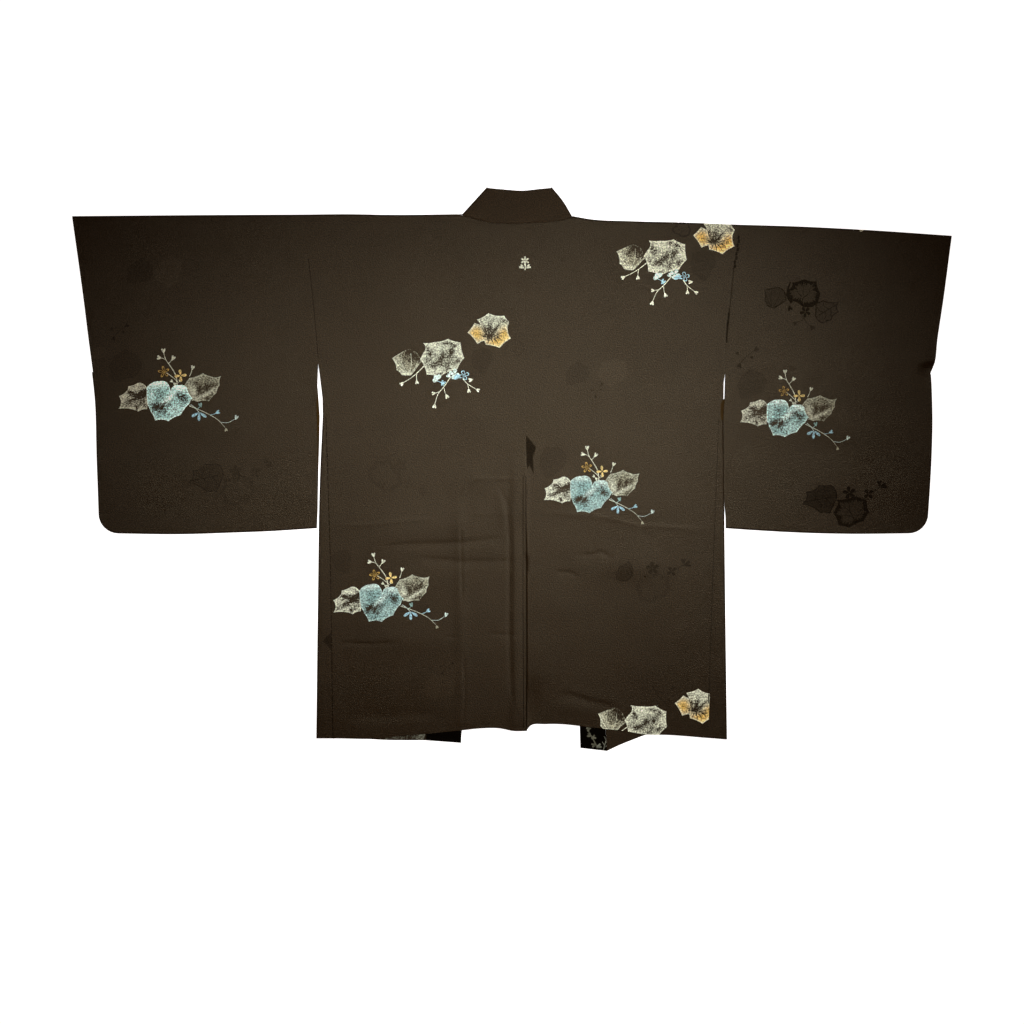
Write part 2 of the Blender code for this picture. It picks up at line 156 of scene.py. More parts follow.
# Height is negative for a trough. The widths are those of its left and right slopes, looking along the line,
# and it fades in and out over the last stretch at each end.
Crease = namedtuple("Crease", "line height left right fade")
BROAD_CREASES = (
    Crease(((-19, -18), (-4, -110)), 0.5, 9, 9, 50),
    Crease(((-79, -30), (-74, -420)), 0.5, 10, 8, 60),  # over the edge of the left collar
    Crease(((-250, -104), (-30, -78)), 0.5, 24, 20, 70),
    Crease(((70, -132), (260, -160)), 0.5, 26, 22, 70),
    Crease(((-262, -258), (-70, -250)), 0.4, 26, 20, 60),
    Crease(((30, -350), (150, -358)), 0.5, 24, 18, 60),
)
SHARP_CREASES = (
    # down the left back, beside the centre seam and along the collar underneath
    Crease(((-24, -14), (-9, -49), (-3, -110), (-4, -244), (-1, -331), (5, -376)), -0.5, 4.4, 3.4, 50),
    Crease(((-77, -67), (-76, -150), (-74, -215)), -0.32, 2.4, 1.8, 40),
    Crease(((-73, -268), (-71, -342), (-75, -392)), -0.32, 2.6, 2.0, 30),
    Crease(((-79, -50), (-70, -26), (-56, -14), (14, -14)), 0.2, 2.2, 2.2, 24),
    # across the left back
    Crease(((-273, -85), (-211, -82), (-163, -77), (-106, -74)), 0.18, 2.4, 3.6, 40),
    Crease(((-66, -67), (14, -67)), 0.10, 3.2, 3.0, 20),
    Crease(((-203, -115), (-150, -111), (-75, -109), (-57, -107), (-5, -100)), -0.30, 2.6, 7.0, 34),
    Crease(((-146, -131), (-75, -137), (-14, -136), (14, -133)), -0.30, 2.4, 8.0, 34),
    Crease(((-268, -259), (-207, -261), (-163, -257)), -0.28, 1.6, 5.0, 30),
    Crease(((-107, -250), (-75, -252)), -0.2, 1.6, 2.2, 14),
    Crease(((-40, -245), (18, -248)), -0.24, 1.6, 5.0, 18),
    Crease(((-261, -371), (-186, -371), (-150, -367), (-90, -372)), -0.45, 12, 8, 50),
    Crease(((-208, -28), (-142, -28)), -0.07, 1.3, 1.3, 14),
    Crease(((-141, -26), (-140, -42)), -0.07, 1.3, 1.3, 5),
    # across the right back
    Crease(((30, -61), (140, -71), (188, -83), (312, -91)), 0.22, 2.6, 5.0, 60),
    Crease(((90, -127), (117, -128), (132, -122), (158, -136)), -0.3, 2.0, 5.0, 24),
    Crease(((60, -152), (90, -154), (105, -165)), -0.3, 1.8, 5.0, 18),
    Crease(((56, -338), (87, -337), (117, -346), (142, -352), (170, -362)), -0.5, 3.4, 11, 36),
    # on either side of the centre seam
    Crease(((23, -124), (23.4, -160)), -0.7, 0.8, 5, 10),
    Crease(((21.4, -60), (22, -190), (22.6, -384)), -1.0, 0.7, 11, 60),
    Crease(((22.6, -300), (22.7, -400)), -1.6, 22, 0.7, 45),
    Crease(((3, 363), (19, 360), (36, 360.5)), -0.26, 1.8, 3.2, 9),
    # the dent in the right sleeve's hand opening
    Crease(((656, 156.5), (630, 154), (604, 149)), -2.2, 15, 5, 22),
    # the sleeves' long soft folds
    Crease(((-640, 250), (-520, 230), (-340, 262)), 0.4, 26, 34, 90),
    Crease(((-610, 20), (-470, 36), (-320, 8)), -0.35, 24, 30, 80),
    Crease(((350, 236), (480, 214), (620, 232)), 0.4, 30, 26, 90),
    Crease(((345, 12), (470, 30), (610, -6)), -0.35, 26, 26, 80),
)

# The seam allowance pressed under the left half of the back, which raises a band beside the centre seam
ALLOWANCE_HEIGHT, ALLOWANCE_FADE = 0.8, (30, -30)
ALLOWANCE_LEFT, ALLOWANCE_RIGHT = (-6, 5), (20, 25.5)

Seam = namedtuple("Seam", "line depth width")
SEAMS = (
    Seam(CENTRE_SEAM, 0.025, 0.8), Seam(((16.6, 0), (16.6, -200), (18, -388)), 0.04, 0.6),
    Seam(NECK_LEFT, 0.2, 0.9), Seam(NECK_RIGHT, 0.2, 0.9),
    Seam(LEFT_SLEEVE.armhole, 0.06, 0.8), Seam(RIGHT_SLEEVE.armhole, 0.10, 1.2),
    Seam(LEFT_GUSSET.back_seam, 0.04, 0.9), Seam(RIGHT_GUSSET.back_seam, 0.03, 0.9),
)
RIPPLES, RIPPLE_HEIGHT = 14, 0.022
RIPPLE_LENGTHS = (45, 190)


def smooth(share):
    share = np.clip(share, 0, 1)
    return share * share * (3 - 2 * share)


def beside(x, y, line):
    """Each point's distance to a line, below 0 on its left, how far along it is, and the line's length."""
    nearest = np.full(np.shape(x), np.inf)
    aside, along, length = np.zeros_like(nearest), np.zeros_like(nearest), 0.0
    for (x0, y0), (x1, y1) in zip(line, line[1:]):
        run_x, run_y = x1 - x0, y1 - y0
        run = np.hypot(run_x, run_y)
        share = np.clip(((x - x0) * run_x + (y - y0) * run_y) / run ** 2, 0, 1)
        gap = np.hypot(x - x0 - share * run_x, y - y0 - share * run_y)
        side = np.where((x - x0) * run_y - (y - y0) * run_x < 0, -1, 1)
        closer = gap < nearest
        nearest = np.where(closer, gap, nearest)
        aside = np.where(closer, side * gap, aside)
        along = np.where(closer, length + share * run, along)
        length += run
    return aside, along, length


def crease_height(crease, x, y):
    aside, along, length = beside(x, y, crease.line)
    width = np.where(aside < 0, crease.left, crease.right)
    ends = smooth(along / crease.fade) * smooth((length - along) / crease.fade)
    return crease.height * ends * np.exp(-((aside / width) ** 2))


def ripple_height(x, y):
    """The slight unevenness of soft cloth: many long low waves that cross each other."""
    rng = np.random.default_rng(7)
    height = np.zeros_like(x)
    for _ in range(RIPPLES):
        wave, way, phase = rng.uniform(*RIPPLE_LENGTHS), rng.uniform(0, np.pi), rng.uniform(0, 2 * np.pi)
        height += np.sin(2 * np.pi / wave * (x * np.cos(way) + y * np.sin(way)) + phase)
    return RIPPLE_HEIGHT * height


def upper_height(x, y):
    """The height of the middle of the upper layer."""
    x, y = np.asarray(x, float), np.asarray(y, float)
    height = UPPER + ripple_height(x, y)
    for swell in SWELLS:
        inside = 1 - ((x - swell.x) / swell.across) ** 2 - ((y - swell.y) / swell.up) ** 2
        height += swell.height * np.maximum(inside, 0) ** 2
    for crease in BROAD_CREASES + SHARP_CREASES:
        height += crease_height(crease, x, y)
    for seam in SEAMS:
        height -= seam.depth * np.exp(-((beside(x, y, seam.line)[0] / seam.width) ** 2))
    band = smooth((ALLOWANCE_FADE[0] - y) / (ALLOWANCE_FADE[0] - ALLOWANCE_FADE[1]))
    band *= smooth((x - ALLOWANCE_LEFT[0]) / (ALLOWANCE_LEFT[1] - ALLOWANCE_LEFT[0]))
    band *= smooth((ALLOWANCE_RIGHT[1] - x) / (ALLOWANCE_RIGHT[1] - ALLOWANCE_RIGHT[0]))
    return height + ALLOWANCE_HEIGHT * band


# ---------------------------------------------------------------- lines

CURVE_PARTS = 8  # straight parts between two points of a smooth curve


def lengths_along(points):
    return np.concatenate([[0], np.cumsum(np.linalg.norm(np.diff(points, axis=0), axis=1))])


def spaced(line, shares):
    line = np.asarray(line, float)
    reach = lengths_along(line)
    at = np.asarray(shares) * reach[-1]
    return np.column_stack([np.interp(at, reach, line[:, k]) for k in (0, 1)])


def curve(line, step):
    """Points about every step along the smooth curve through a line's points."""
    line = np.asarray(line, float)
    if len(line) > 2:
        reach = lengths_along(line)
        slope = np.gradient(line, reach, axis=0)
        fine = [line[0]]
        for i in range(len(line) - 1):
            span = reach[i + 1] - reach[i]
            for t in np.linspace(0, 1, CURVE_PARTS + 1)[1:]:
                fine.append((2 * t**3 - 3 * t**2 + 1) * line[i] + (t**3 - 2 * t**2 + t) * span * slope[i]
                            + (3 * t**2 - 2 * t**3) * line[i + 1] + (t**3 - t**2) * span * slope[i + 1])
        line = np.array(fine)
    return spaced(line, np.linspace(0, 1, max(1, round(lengths_along(line)[-1] / step)) + 1))


def straight(line, step):
    """Points about every step along a line that keeps its corners."""
    return np.concatenate([*[curve(pair, step)[:-1] for pair in zip(line, line[1:])], [line[-1]]])


def moved(line, x=0.0, y=0.0):
    return [(p[0] + x, p[1] + y) for p in line]


def joined(*runs):
    """One closed outline through several runs of points, each starting where the one before ended."""
    return np.concatenate([np.asarray(run)[:-1] for run in runs])


def inside(points, outline):
    """Which points lie inside a closed outline."""
    within = np.zeros(len(points), bool)
    for (x0, y0), (x1, y1) in zip(outline, np.roll(outline, -1, axis=0)):
        if y0 != y1:
            spans = (y0 > points[:, 1]) != (y1 > points[:, 1])
            within ^= spans & (points[:, 0] < (x1 - x0) * (points[:, 1] - y0) / (y1 - y0) + x0)
    return within


def turned(points, degrees):
    a = np.radians(degrees)
    return np.asarray(points, float) @ np.array(((np.cos(a), np.sin(a)), (-np.sin(a), np.cos(a))))


# ---------------------------------------------------------------- prints

def dye(red, green, blue):
    """A pigment's linear colour from its 0 to 255 screen values."""
    screen = np.array((red, green, blue)) / 255
    return np.where(screen <= 0.04045, screen / 12.92, ((screen + 0.055) / 1.055) ** 2.4)


CREAM = dye(218, 226, 205)
STONE = dye(193, 202, 182)
TAUPE = dye(163, 166, 143)
SKY = dye(206, 231, 225)
BLUE = dye(138, 180, 179)
ICE = dye(160, 206, 222)
GOLD = dye(200, 166, 82)
PALE_GOLD = dye(236, 214, 140)
NONE = None

Tip = namedtuple("Tip", "angle radius bulge")
Patch = namedtuple("Patch", "x y long wide turn strength pigment")
Stroke = namedtuple("Stroke", "line start end pigment")
LeafKind = namedtuple("LeafKind", "tips pigment cover rim rim_width patches strokes")

# A tip's bulge is how far the edge from it to the next tip bows outwards, as a share of that edge's length
HEART = LeafKind(
    tips=(Tip(-168, 30, -0.05), Tip(-150, 29, -0.05), Tip(-123, 33, -0.10), Tip(-88, 28, -0.07),
          Tip(-46, 26, -0.05), Tip(-4, 30, -0.06), Tip(10, 35, -0.10), Tip(38, 33, 0.16),
          Tip(58, 28, 0.24), Tip(80, 14, 0.0), Tip(84, 18, 0.26), Tip(118, 32, 0.12), Tip(149, 37, 0.02)),
    pigment=BLUE, cover=0.66, rim=SKY, rim_width=1.3,
    patches=(
        Patch(0, 4, 16, 4, 45, 0.95, SKY), Patch(17, 20, 10, 5, -20, 1.0, SKY),
        Patch(-14, 25, 15, 5, 5, 0.9, SKY), Patch(9, -11, 14, 8, 25, 0.30, SKY),
        Patch(-24, 8, 4, 14, 0, 0.3, SKY), Patch(-17, -8, 9, 5, 28, 1.0, NONE),
        Patch(-8, -9, 10, 2.4, 60, 0.95, NONE), Patch(-4, -13, 7, 1.6, 66, 0.7, NONE),
        Patch(20, 6, 7, 6, -30, 0.75, NONE), Patch(13, 11, 6, 2, 40, 0.6, NONE),
        Patch(-13, 9, 5, 9, 10, 0.28, NONE), Patch(3, -2, 3, 9, -25, 0.35, NONE),
    ),
    strokes=(),
)
HOLLY = LeafKind(
    tips=(Tip(-70, 20, -0.10), Tip(-38, 24, 0.0), Tip(20, 22, 0.10), Tip(52, 24, 0.16), Tip(80, 22, -0.06),
          Tip(118, 19, 0.0), Tip(128, 15.5, -0.08), Tip(174, 22, -0.18), Tip(216, 27, -0.08)),
    pigment=CREAM, cover=0.62, rim=CREAM, rim_width=1.3,
    patches=(
        Patch(15, 8, 9, 5, 62, 1.0, NONE), Patch(7, 4, 9, 4, 35, 1.0, NONE),
        Patch(-6, 8, 6, 2.4, -10, 1.0, NONE), Patch(5, -15, 5, 2.2, 60, 1.0, NONE),
        Patch(14, -8, 6, 7, 0, 0.5, NONE), Patch(-8, -6, 9, 2.5, 30, 0.8, NONE),
        Patch(0, 2, 12, 8, 20, 0.30, NONE), Patch(-11, -4, 5, 3, 30, 0.9, CREAM),
        Patch(2, 15, 7, 4, 0, 0.9, CREAM), Patch(11, -14, 6, 4, 20, 0.8, CREAM),
        Patch(-16, 4, 5, 4, 0, 0.6, CREAM),
    ),
    strokes=(
        Stroke(((12, 10), (4, 5), (-3, 5), (-10, 1)), 2.6, 0.8, NONE),
        Stroke(((14, 2), (2, -2), (-6, -3), (-18, -9)), 1.8, 0.6, NONE),
        Stroke(((2, -10), (5, -15)), 1.6, 2.6, NONE), Stroke(((3, 8), (0, 12)), 1.2, 0.5, NONE),
        Stroke(((9, -5), (11, -11)), 1.4, 0.5, NONE),
    ),
)
FOLDED = LeafKind(
    tips=(Tip(-60, 20, -0.05), Tip(-14, 21, -0.08), Tip(14, 25, -0.10), Tip(36, 32, -0.12),
          Tip(60, 21, -0.06), Tip(90, 22, -0.06), Tip(142, 24, 0.02), Tip(176, 27, 0.06),
          Tip(208, 22, 0.08), Tip(250, 20, -0.06)),
    pigment=TAUPE, cover=0.50, rim=STONE, rim_width=1.2,
    patches=(
        Patch(-15, 1, 6, 11, 15, 0.75, STONE), Patch(-6, 15, 9, 4, 25, 0.6, STONE),
        Patch(16, 14, 8, 4, 40, 0.5, STONE), Patch(-13, -6, 5, 7, 40, 0.8, CREAM),
        Patch(-4, -1, 3, 7, -14, 0.95, NONE), Patch(6, 2, 3, 7, -20, 0.9, NONE),
        Patch(13, 6, 3, 6, -24, 0.6, NONE), Patch(-9, 9, 3, 6, -10, 0.4, NONE),
        Patch(10, -14, 12, 5, 30, 0.55, NONE), Patch(3, -9, 22, 2.4, 30, 1.0, CREAM),
    ),
    strokes=(Stroke(((-14, -17), (-4, -13), (6, -7), (18, 1)), 1.2, 0.6, STONE),),
)
BROAD = LeafKind(
    tips=(Tip(-36, 28, -0.04), Tip(0, 33, -0.04), Tip(40, 36, -0.05), Tip(72, 30, -0.05),
          Tip(114, 26, -0.04), Tip(142, 36, -0.20), Tip(158, 28, 0.03), Tip(184, 33, -0.07),
          Tip(227, 34, -0.05), Tip(262, 29, -0.05)),
    pigment=STONE, cover=0.66, rim=CREAM, rim_width=1.5,
    patches=(
        Patch(-12, 18, 12, 5, 0, 0.55, CREAM), Patch(-14, -20, 12, 5, -15, 0.65, CREAM),
        Patch(25, 10, 6, 11, 0, 0.5, CREAM), Patch(-11, -10, 8, 4, 30, 0.85, NONE),
        Patch(0, 0, 9, 4, 65, 0.85, NONE), Patch(13, 9, 10, 4, 75, 0.8, NONE),
        Patch(22, -6, 7, 4, 20, 0.7, NONE), Patch(-17, 5, 7, 4, 70, 0.6, NONE),
        Patch(9, -13, 4, 7, 0, 0.5, NONE), Patch(2, -2, 20, 12, 20, 0.25, NONE),
        Patch(-22, 12, 4, 6, 20, 0.6, NONE), Patch(5, 22, 8, 2.6, 0, 0.65, NONE),
        Patch(18, 19, 6, 2.6, -30, 0.6, NONE), Patch(-4, -24, 7, 2.6, 10, 0.65, NONE),
        Patch(-24, -8, 3, 5, 0, 0.5, NONE),
    ),
    strokes=(
        Stroke(((7, -22), (5, -12), (2, 2), (0, 14)), 0.9, 0.3, NONE),
        Stroke(((6, -16), (14, -2), (19, 12)), 0.8, 0.3, NONE),
        Stroke(((5, -14), (-10, -8), (-22, -2)), 0.8, 0.3, NONE),
    ),
)
FADED = LeafKind(
    tips=(Tip(-144, 19, -0.08), Tip(-112, 20, 0.05), Tip(-70, 20, 0.0), Tip(-38, 17, -0.04),
          Tip(2, 22, 0.05), Tip(44, 21, 0.10), Tip(86, 20, 0.02), Tip(164, 23, -0.10)),
    pigment=TAUPE, cover=0.52, rim=STONE, rim_width=1.2,
    patches=(
        Patch(-13, -6, 9, 11, 0, 0.45, STONE), Patch(-2, -16, 12, 3, -8, 0.8, CREAM),
        Patch(-17, 3, 5, 3, 40, 0.6, CREAM), Patch(14, 10, 15, 11, -30, 0.9, NONE),
        Patch(4, 18, 14, 6, 10, 0.9, NONE), Patch(-4, 4, 6, 8, 20, 0.3, NONE),
    ),
    strokes=(
        Stroke(((6, 14), (7, 0), (4, -16)), 0.4, 1.1, STONE),
        Stroke(((-8, 12), (-8, 0), (1, -16)), 0.4, 0.9, STONE),
        Stroke(((17, 3), (13, -7), (6, -16)), 0.4, 0.9, STONE),
        Stroke(((-18, 2), (-9, -9), (0, -17)), 0.4, 0.8, CREAM),
    ),
)
GILDED = LeafKind(
    tips=(Tip(-60, 30, -0.05), Tip(-20, 34, -0.08), Tip(8, 27, -0.02), Tip(24, 32, -0.03),
          Tip(46, 31, -0.08), Tip(94, 26, -0.06), Tip(139, 25, -0.02), Tip(146, 15, -0.02),
          Tip(153, 25, -0.03), Tip(185, 33, -0.05), Tip(228, 27, -0.06), Tip(243, 17, -0.02),
          Tip(255, 22, -0.05)),
    pigment=STONE, cover=0.68, rim=CREAM, rim_width=1.2,
    patches=(
        Patch(-20, -6, 14, 11, -20, 1.0, GOLD), Patch(12, -17, 24, 9, 20, 1.0, GOLD),
        Patch(24, -6, 11, 11, 0, 1.0, GOLD), Patch(8, -23, 16, 4, 14, 0.85, PALE_GOLD),
        Patch(-26, -10, 5, 6, 20, 0.8, PALE_GOLD), Patch(24, -12, 6, 5, 30, 0.8, PALE_GOLD),
        Patch(-18, 1, 5, 4, 0, 0.5, GOLD), Patch(-1, -8, 9, 4.5, 10, 1.0, NONE),
        Patch(1, 3, 10, 3, 85, 0.8, NONE), Patch(8, 0, 10, 2.5, 55, 0.75, NONE),
        Patch(-7, 2, 9, 2.5, 110, 0.7, NONE), Patch(0, 2, 15, 7, 0, 0.15, NONE),
        Patch(15, -9, 8, 3, 20, 0.6, NONE), Patch(-18, 12, 6, 3, 30, 0.5, NONE),
        Patch(22, 14, 6, 3, -30, 0.5, NONE),
    ),
    strokes=(
        Stroke(((-1, -8), (-2, 4), (-1, 16)), 1.6, 0.3, NONE),
        Stroke(((2, -6), (10, 3), (17, 13)), 1.5, 0.3, NONE),
        Stroke(((-4, -7), (-10, 2), (-13, 11)), 1.4, 0.3, NONE),
        Stroke(((6, -9), (17, -4), (26, 0)), 1.5, 0.3, NONE),
        Stroke(((-7, -9), (-14, -6), (-22, -6)), 1.1, 0.3, NONE),
        Stroke(((2, -12), (5, -17), (6, -22)), 1.8, 0.8, NONE),
        Stroke(((6, -12), (11, -16), (13, -20)), 1.8, 0.8, NONE),
        Stroke(((-1, -13), (-2, -18), (-3, -20)), 1.6, 0.7, NONE),
        Stroke(((11, -10), (17, -13), (19, -16)), 1.6, 0.7, NONE),
    ),
)

Leaf = namedtuple("Leaf", "kind x y turn size")
Bud = namedtuple("Bud", "x y turn size pigment")
Blossom = namedtuple("Blossom", "x y turn petals length width pigment outlined")

BLUE_SPRAY = (
    Stroke(((12, 24), (9, 38), (0, 52), (-6, 60), (-9, 69)), 1.5, 0.7, CREAM),
    Stroke(((-5, 59), (-9, 61), (-13, 62)), 0.8, 0.7, CREAM),
    Stroke(((-2, 54), (1, 57), (3, 61)), 0.8, 0.7, CREAM),
    Stroke(((14, 27), (6, 34), (-4, 41)), 0.7, 0.9, CREAM),
    Stroke(((29, 37), (31, 42), (32, 47)), 1.0, 0.6, CREAM),
    Stroke(((30, -5), (44, -10), (60, -17), (72, -24), (82, -34)), 1.3, 0.5, STONE),
    Stroke(((32, -3), (40, -9), (45, -15)), 0.9, 0.7, SKY),
    Stroke(((60, -17), (65, -16), (69, -14)), 0.7, 0.7, ICE),
    Stroke(((76, -27), (86, -27), (95, -22)), 0.7, 0.6, SKY),
    Stroke(((42, -9), (44, -7), (46, -5)), 0.7, 0.7, BLUE), Leaf(FOLDED, 48, 20, 0, 1),
    Leaf(HOLLY, -49, 3, 0, 1), Leaf(HEART, 0, 0, 0, 1), Bud(-9.5, 72, 8, 5.0, CREAM),
    Bud(-15, 62, 78, 5.0, CREAM), Bud(4.5, 62, -24, 5.0, CREAM), Bud(33, 49.5, -14, 4.6, CREAM),
    Bud(4, 29, 52, 3.6, CREAM), Bud(8, 25.5, -128, 3.8, CREAM), Bud(15.5, 30, 0, 2.8, CREAM),
    Blossom(-8, 42, 12, 5, 8.4, 0.27, GOLD, True), Blossom(16, 37.5, 8, 4, 8.8, 0.3, PALE_GOLD, False),
    Blossom(44.5, -13.5, 180, 3, 12.5, 0.22, ICE, False), Bud(46, -3.5, 20, 4.6, BLUE),
    Bud(70.5, -13, -62, 4.8, ICE), Bud(97.5, -19.5, -20, 4.8, SKY), Bud(83.5, -37, 196, 3.6, TAUPE),
)
BROAD_SPRAY = (
    Stroke(((-26, -11), (-38, -23), (-48, -31), (-58, -37)), 1.2, 0.7, CREAM),
    Stroke(((-38, -23), (-38.5, -29), (-38, -34)), 0.8, 0.7, CREAM),
    Stroke(((13, -28), (3, -43), (-6, -54), (-11, -69)), 1.4, 0.7, CREAM),
    Stroke(((0, -47), (-5, -51), (-10, -52.5)), 0.7, 0.7, CREAM),
    Stroke(((3, -45), (4, -51), (6, -56)), 0.7, 0.7, CREAM),
    Stroke(((31, -31), (38, -39), (46, -44), (51, -47)), 1.2, 0.7, CREAM),
    Stroke(((38, -39), (39, -43), (40, -47)), 0.8, 0.7, CREAM),
    Stroke(((-9, -34), (0, -38), (3, -43)), 0.9, 0.7, ICE),
    Leaf(FADED, -53, -7, 0, 1), Leaf(BROAD, 0, 0, 0, 1), Leaf(GILDED, 71, 41, 0, 1),
    Blossom(-6, -33, 40, 3, 8.4, 0.5, SKY, False), Bud(1, -38, -30, 6.0, ICE), Bud(10, -27, 60, 5.0, SKY),
    Blossom(18, -24, 75, 4, 8.0, 0.5, SKY, False), Blossom(24, -31, 20, 3, 7.0, 0.5, ICE, False),
    Blossom(33, -26, 200, 4, 7.6, 0.48, ICE, True),
    Bud(43, -33, 100, 5.0, CREAM), Bud(-60, -38.5, 128, 4.8, CREAM), Bud(-38, -36, 190, 4.6, CREAM),
    Bud(-11.5, -72, 172, 5.0, CREAM), Bud(-12.5, -53, 96, 4.2, CREAM), Bud(7, -57.5, 206, 5.0, CREAM),
    Bud(53, -48, -114, 4.4, CREAM), Bud(40, -49, 190, 4.6, CREAM),
)
LONE_TWIG = (
    Stroke(((-12, 18), (-7, 8), (-1, -2), (4, -13)), 2.2, 1.6, TAUPE), Bud(-8, 6, 70, 5, TAUPE),
    Bud(-2, 3, -60, 5.5, TAUPE), Bud(-1, -8, 110, 5.5, TAUPE), Bud(6, -10, -70, 6, STONE),
    Bud(-9, 16, 110, 5, TAUPE), Stroke(((12, -20), (15, -8), (20, 7)), 1.3, 0.7, CREAM),
    Stroke(((14, -12), (20, -8)), 0.9, 0.5, CREAM), Stroke(((15, -9), (11, -3)), 0.9, 0.5, CREAM),
    Stroke(((16, -5), (21, -1)), 0.9, 0.5, CREAM), Stroke(((17, -1), (14, 5)), 0.9, 0.5, CREAM),
)
POSY = (
    Stroke(((0, -11), (0.4, -6), (0, -1)), 1.5, 1.3, CREAM),
    Bud(-4.6, -6.5, 58, 5.4, CREAM), Bud(4.6, -6.5, -58, 5.4, CREAM),
    Blossom(0, 3, 0, 6, 6.6, 0.30, CREAM, False),
)

# The first of the two materials that each finish takes, for the cloth's outside and its inside. A stroke, bud
# or blossom is woven instead of printed when it has one of the last five in place of a pigment. DARK and
# BLACK also paint shade: the painted shadows along seams, beside the centre seam and on the left gusset.
SILK, LOWER_SILK, FAINT, DULL, DARK, BLACK, PALE = range(0, 14, 2)

# A leaf woven into the silk: how wide its edge is, and what its edge and its middle are woven as
Woven = namedtuple("Woven", "kind x y turn size edge edge_weave weave")
IVY = LeafKind(
    tips=(Tip(-147.7, 22.5, -0.04), Tip(-119.8, 17.3, 0.02), Tip(-95.7, 20.1, 0.14), Tip(-57, 23.9, 0.10),
          Tip(-33.7, 27, -0.04), Tip(-4.4, 26, -0.06), Tip(40.4, 26.2, -0.06), Tip(84.3, 20.1, -0.02),
          Tip(136.8, 21.9, -0.06), Tip(153.2, 19, -0.04), Tip(170.4, 23.9, -0.04), Tip(188.4, 27.3, -0.05)),
    pigment=TAUPE, cover=0, rim=TAUPE, rim_width=1, patches=(),
    strokes=(Stroke(((-2, -19), (0, -8), (6, -3)), 1.6, 0.8, NONE),
             Stroke(((0, -8), (8, -1), (10, 6)), 1.2, 0.5, NONE),
             Stroke(((-2, -6), (-9, 2), (-11, 9)), 1.2, 0.5, NONE),
             Stroke(((0, -4), (0, 6), (2, 12)), 1.0, 0.4, NONE)),
)
VEINED = HOLLY._replace(strokes=(
    Stroke(((-20, -12), (-8, -5), (4, 2), (14, 8)), 1.6, 1.2, NONE),
    Stroke(((-6, -4), (-8, 4), (-6, 10)), 1.3, 0.9, NONE),
    Stroke(((3, 1), (1, 9), (5, 16)), 1.3, 0.9, NONE),
    Stroke(((-4, -3), (4, -8), (6, -14)), 1.3, 0.9, NONE),
    Stroke(((6, 3), (13, 0), (17, -6)), 1.3, 0.9, NONE),
))
LOBED = BROAD._replace(strokes=(
    Stroke(((8, -24), (4, -10), (-2, 2), (-4, 18)), 1.6, 0.8, NONE),
    Stroke(((6, -16), (14, -4), (20, 8)), 1.3, 0.7, NONE),
    Stroke(((4, -10), (-8, -6), (-20, -8)), 1.3, 0.7, NONE),
    Stroke(((1, -4), (-8, 6), (-16, 12)), 1.2, 0.7, NONE),
))
WOVEN_TRIO = (
    Stroke(((-2, -34), (0, -39), (-11, -45)), 1.1, 0.8, DARK),
    Stroke(((1, -38), (5, -45), (12, -51)), 1.1, 0.8, DARK),
    Woven(FADED, -43, -7, -20, 0.84, 1.5, BLACK, DULL),
    Woven(VEINED, 35, -27, 180, 0.84, 1.6, BLACK, FAINT), Woven(IVY, 0, 0, 0, 1.0, 7.0, BLACK, FAINT),
    Stroke(((-19, 16), (-23, 4), (-22, -8), (-17, -15)), 2.0, 4.5, BLACK),
    Stroke(((3, -19), (13, -20), (21, -12)), 4.0, 2.0, BLACK),
    Blossom(3, -29, 30, 5, 8.5, 0.36, BLACK, False), Bud(-20, -23, 200, 6, BLACK),
    Bud(-12, -46, 120, 5, DARK), Bud(13, -52, 215, 6, DARK),
)


def woven_pair(left, left_middle, right, right_middle, blossom):
    """Two leaves and a twig of blossom, each woven as strongly as is asked."""
    return (
        Woven(VEINED, -46, 20, -20, 1.1, 1.7, left, left_middle),
        Woven(LOBED, 0, 0, 0, 0.82, 6.5, right, right_middle),
        Blossom(-3, 29, 10, 5, 10, 0.4, blossom, False), Blossom(26, 27, 40, 4, 8, 0.4, blossom, False),
        Stroke(((33, 30), (40, 36), (46, 38)), 1.4, 1.0, blossom), Bud(48, 39, -70, 8, blossom),
        Bud(42, 43, 0, 6, blossom),
    )


WOVEN_LEAF = (Woven(IVY, 0, 0, 30, 0.95, 1.2, DULL, FAINT),)
FAINT_LEAF = (Woven(IVY, 0, 0, 30, 0.62, 1.0, DULL, SILK),)
WOVEN_SWIRL = (
    Woven(FOLDED._replace(strokes=()), 0, 0, 40, 0.62, 1.6, DARK, DULL),
    Stroke(((-10, -6), (-4, -11), (5, -9), (9, -1), (6, 7)), 1.2, 2.0, DARK),
    Stroke(((-6, 4), (-7, -2), (-2, -6), (4, -3), (3, 3)), 1.0, 1.8, DARK),
)
WOVEN_TWIGS = (
    Stroke(((-14, 16), (-4, 0), (12, -16)), 1.0, 0.7, DARK),
    Stroke(((-8, 8), (6, 6), (16, 12)), 0.8, 0.6, DARK),
    Stroke(((-4, 0), (-14, -8), (-16, -20)), 0.8, 0.6, DARK),
    Stroke(((4, -8), (18, -6), (26, -12)), 0.8, 0.6, DARK), Bud(17, 13, -50, 4, DARK),
    Bud(-16, -22, 170, 4, DARK), Bud(27, -13, -110, 4, DARK),
)
WOVEN_BUDS = (
    Stroke(((-8, -9), (2, 2), (14, 11)), 1.0, 0.7, DARK), Bud(16, 12, -50, 6, DARK),
    Bud(-9, -12, 160, 6, DARK), Bud(-12, 6, 60, 4, DARK), Bud(9, 0, -110, 4, DARK),
)
WOVEN_RING = (Woven(IVY, 0, 0, 0, 0.55, 2.6, DARK, SILK),)
PALE_LEAF = (Woven(BROAD, 0, 0, 0, 0.72, 0.8, PALE, PALE),)
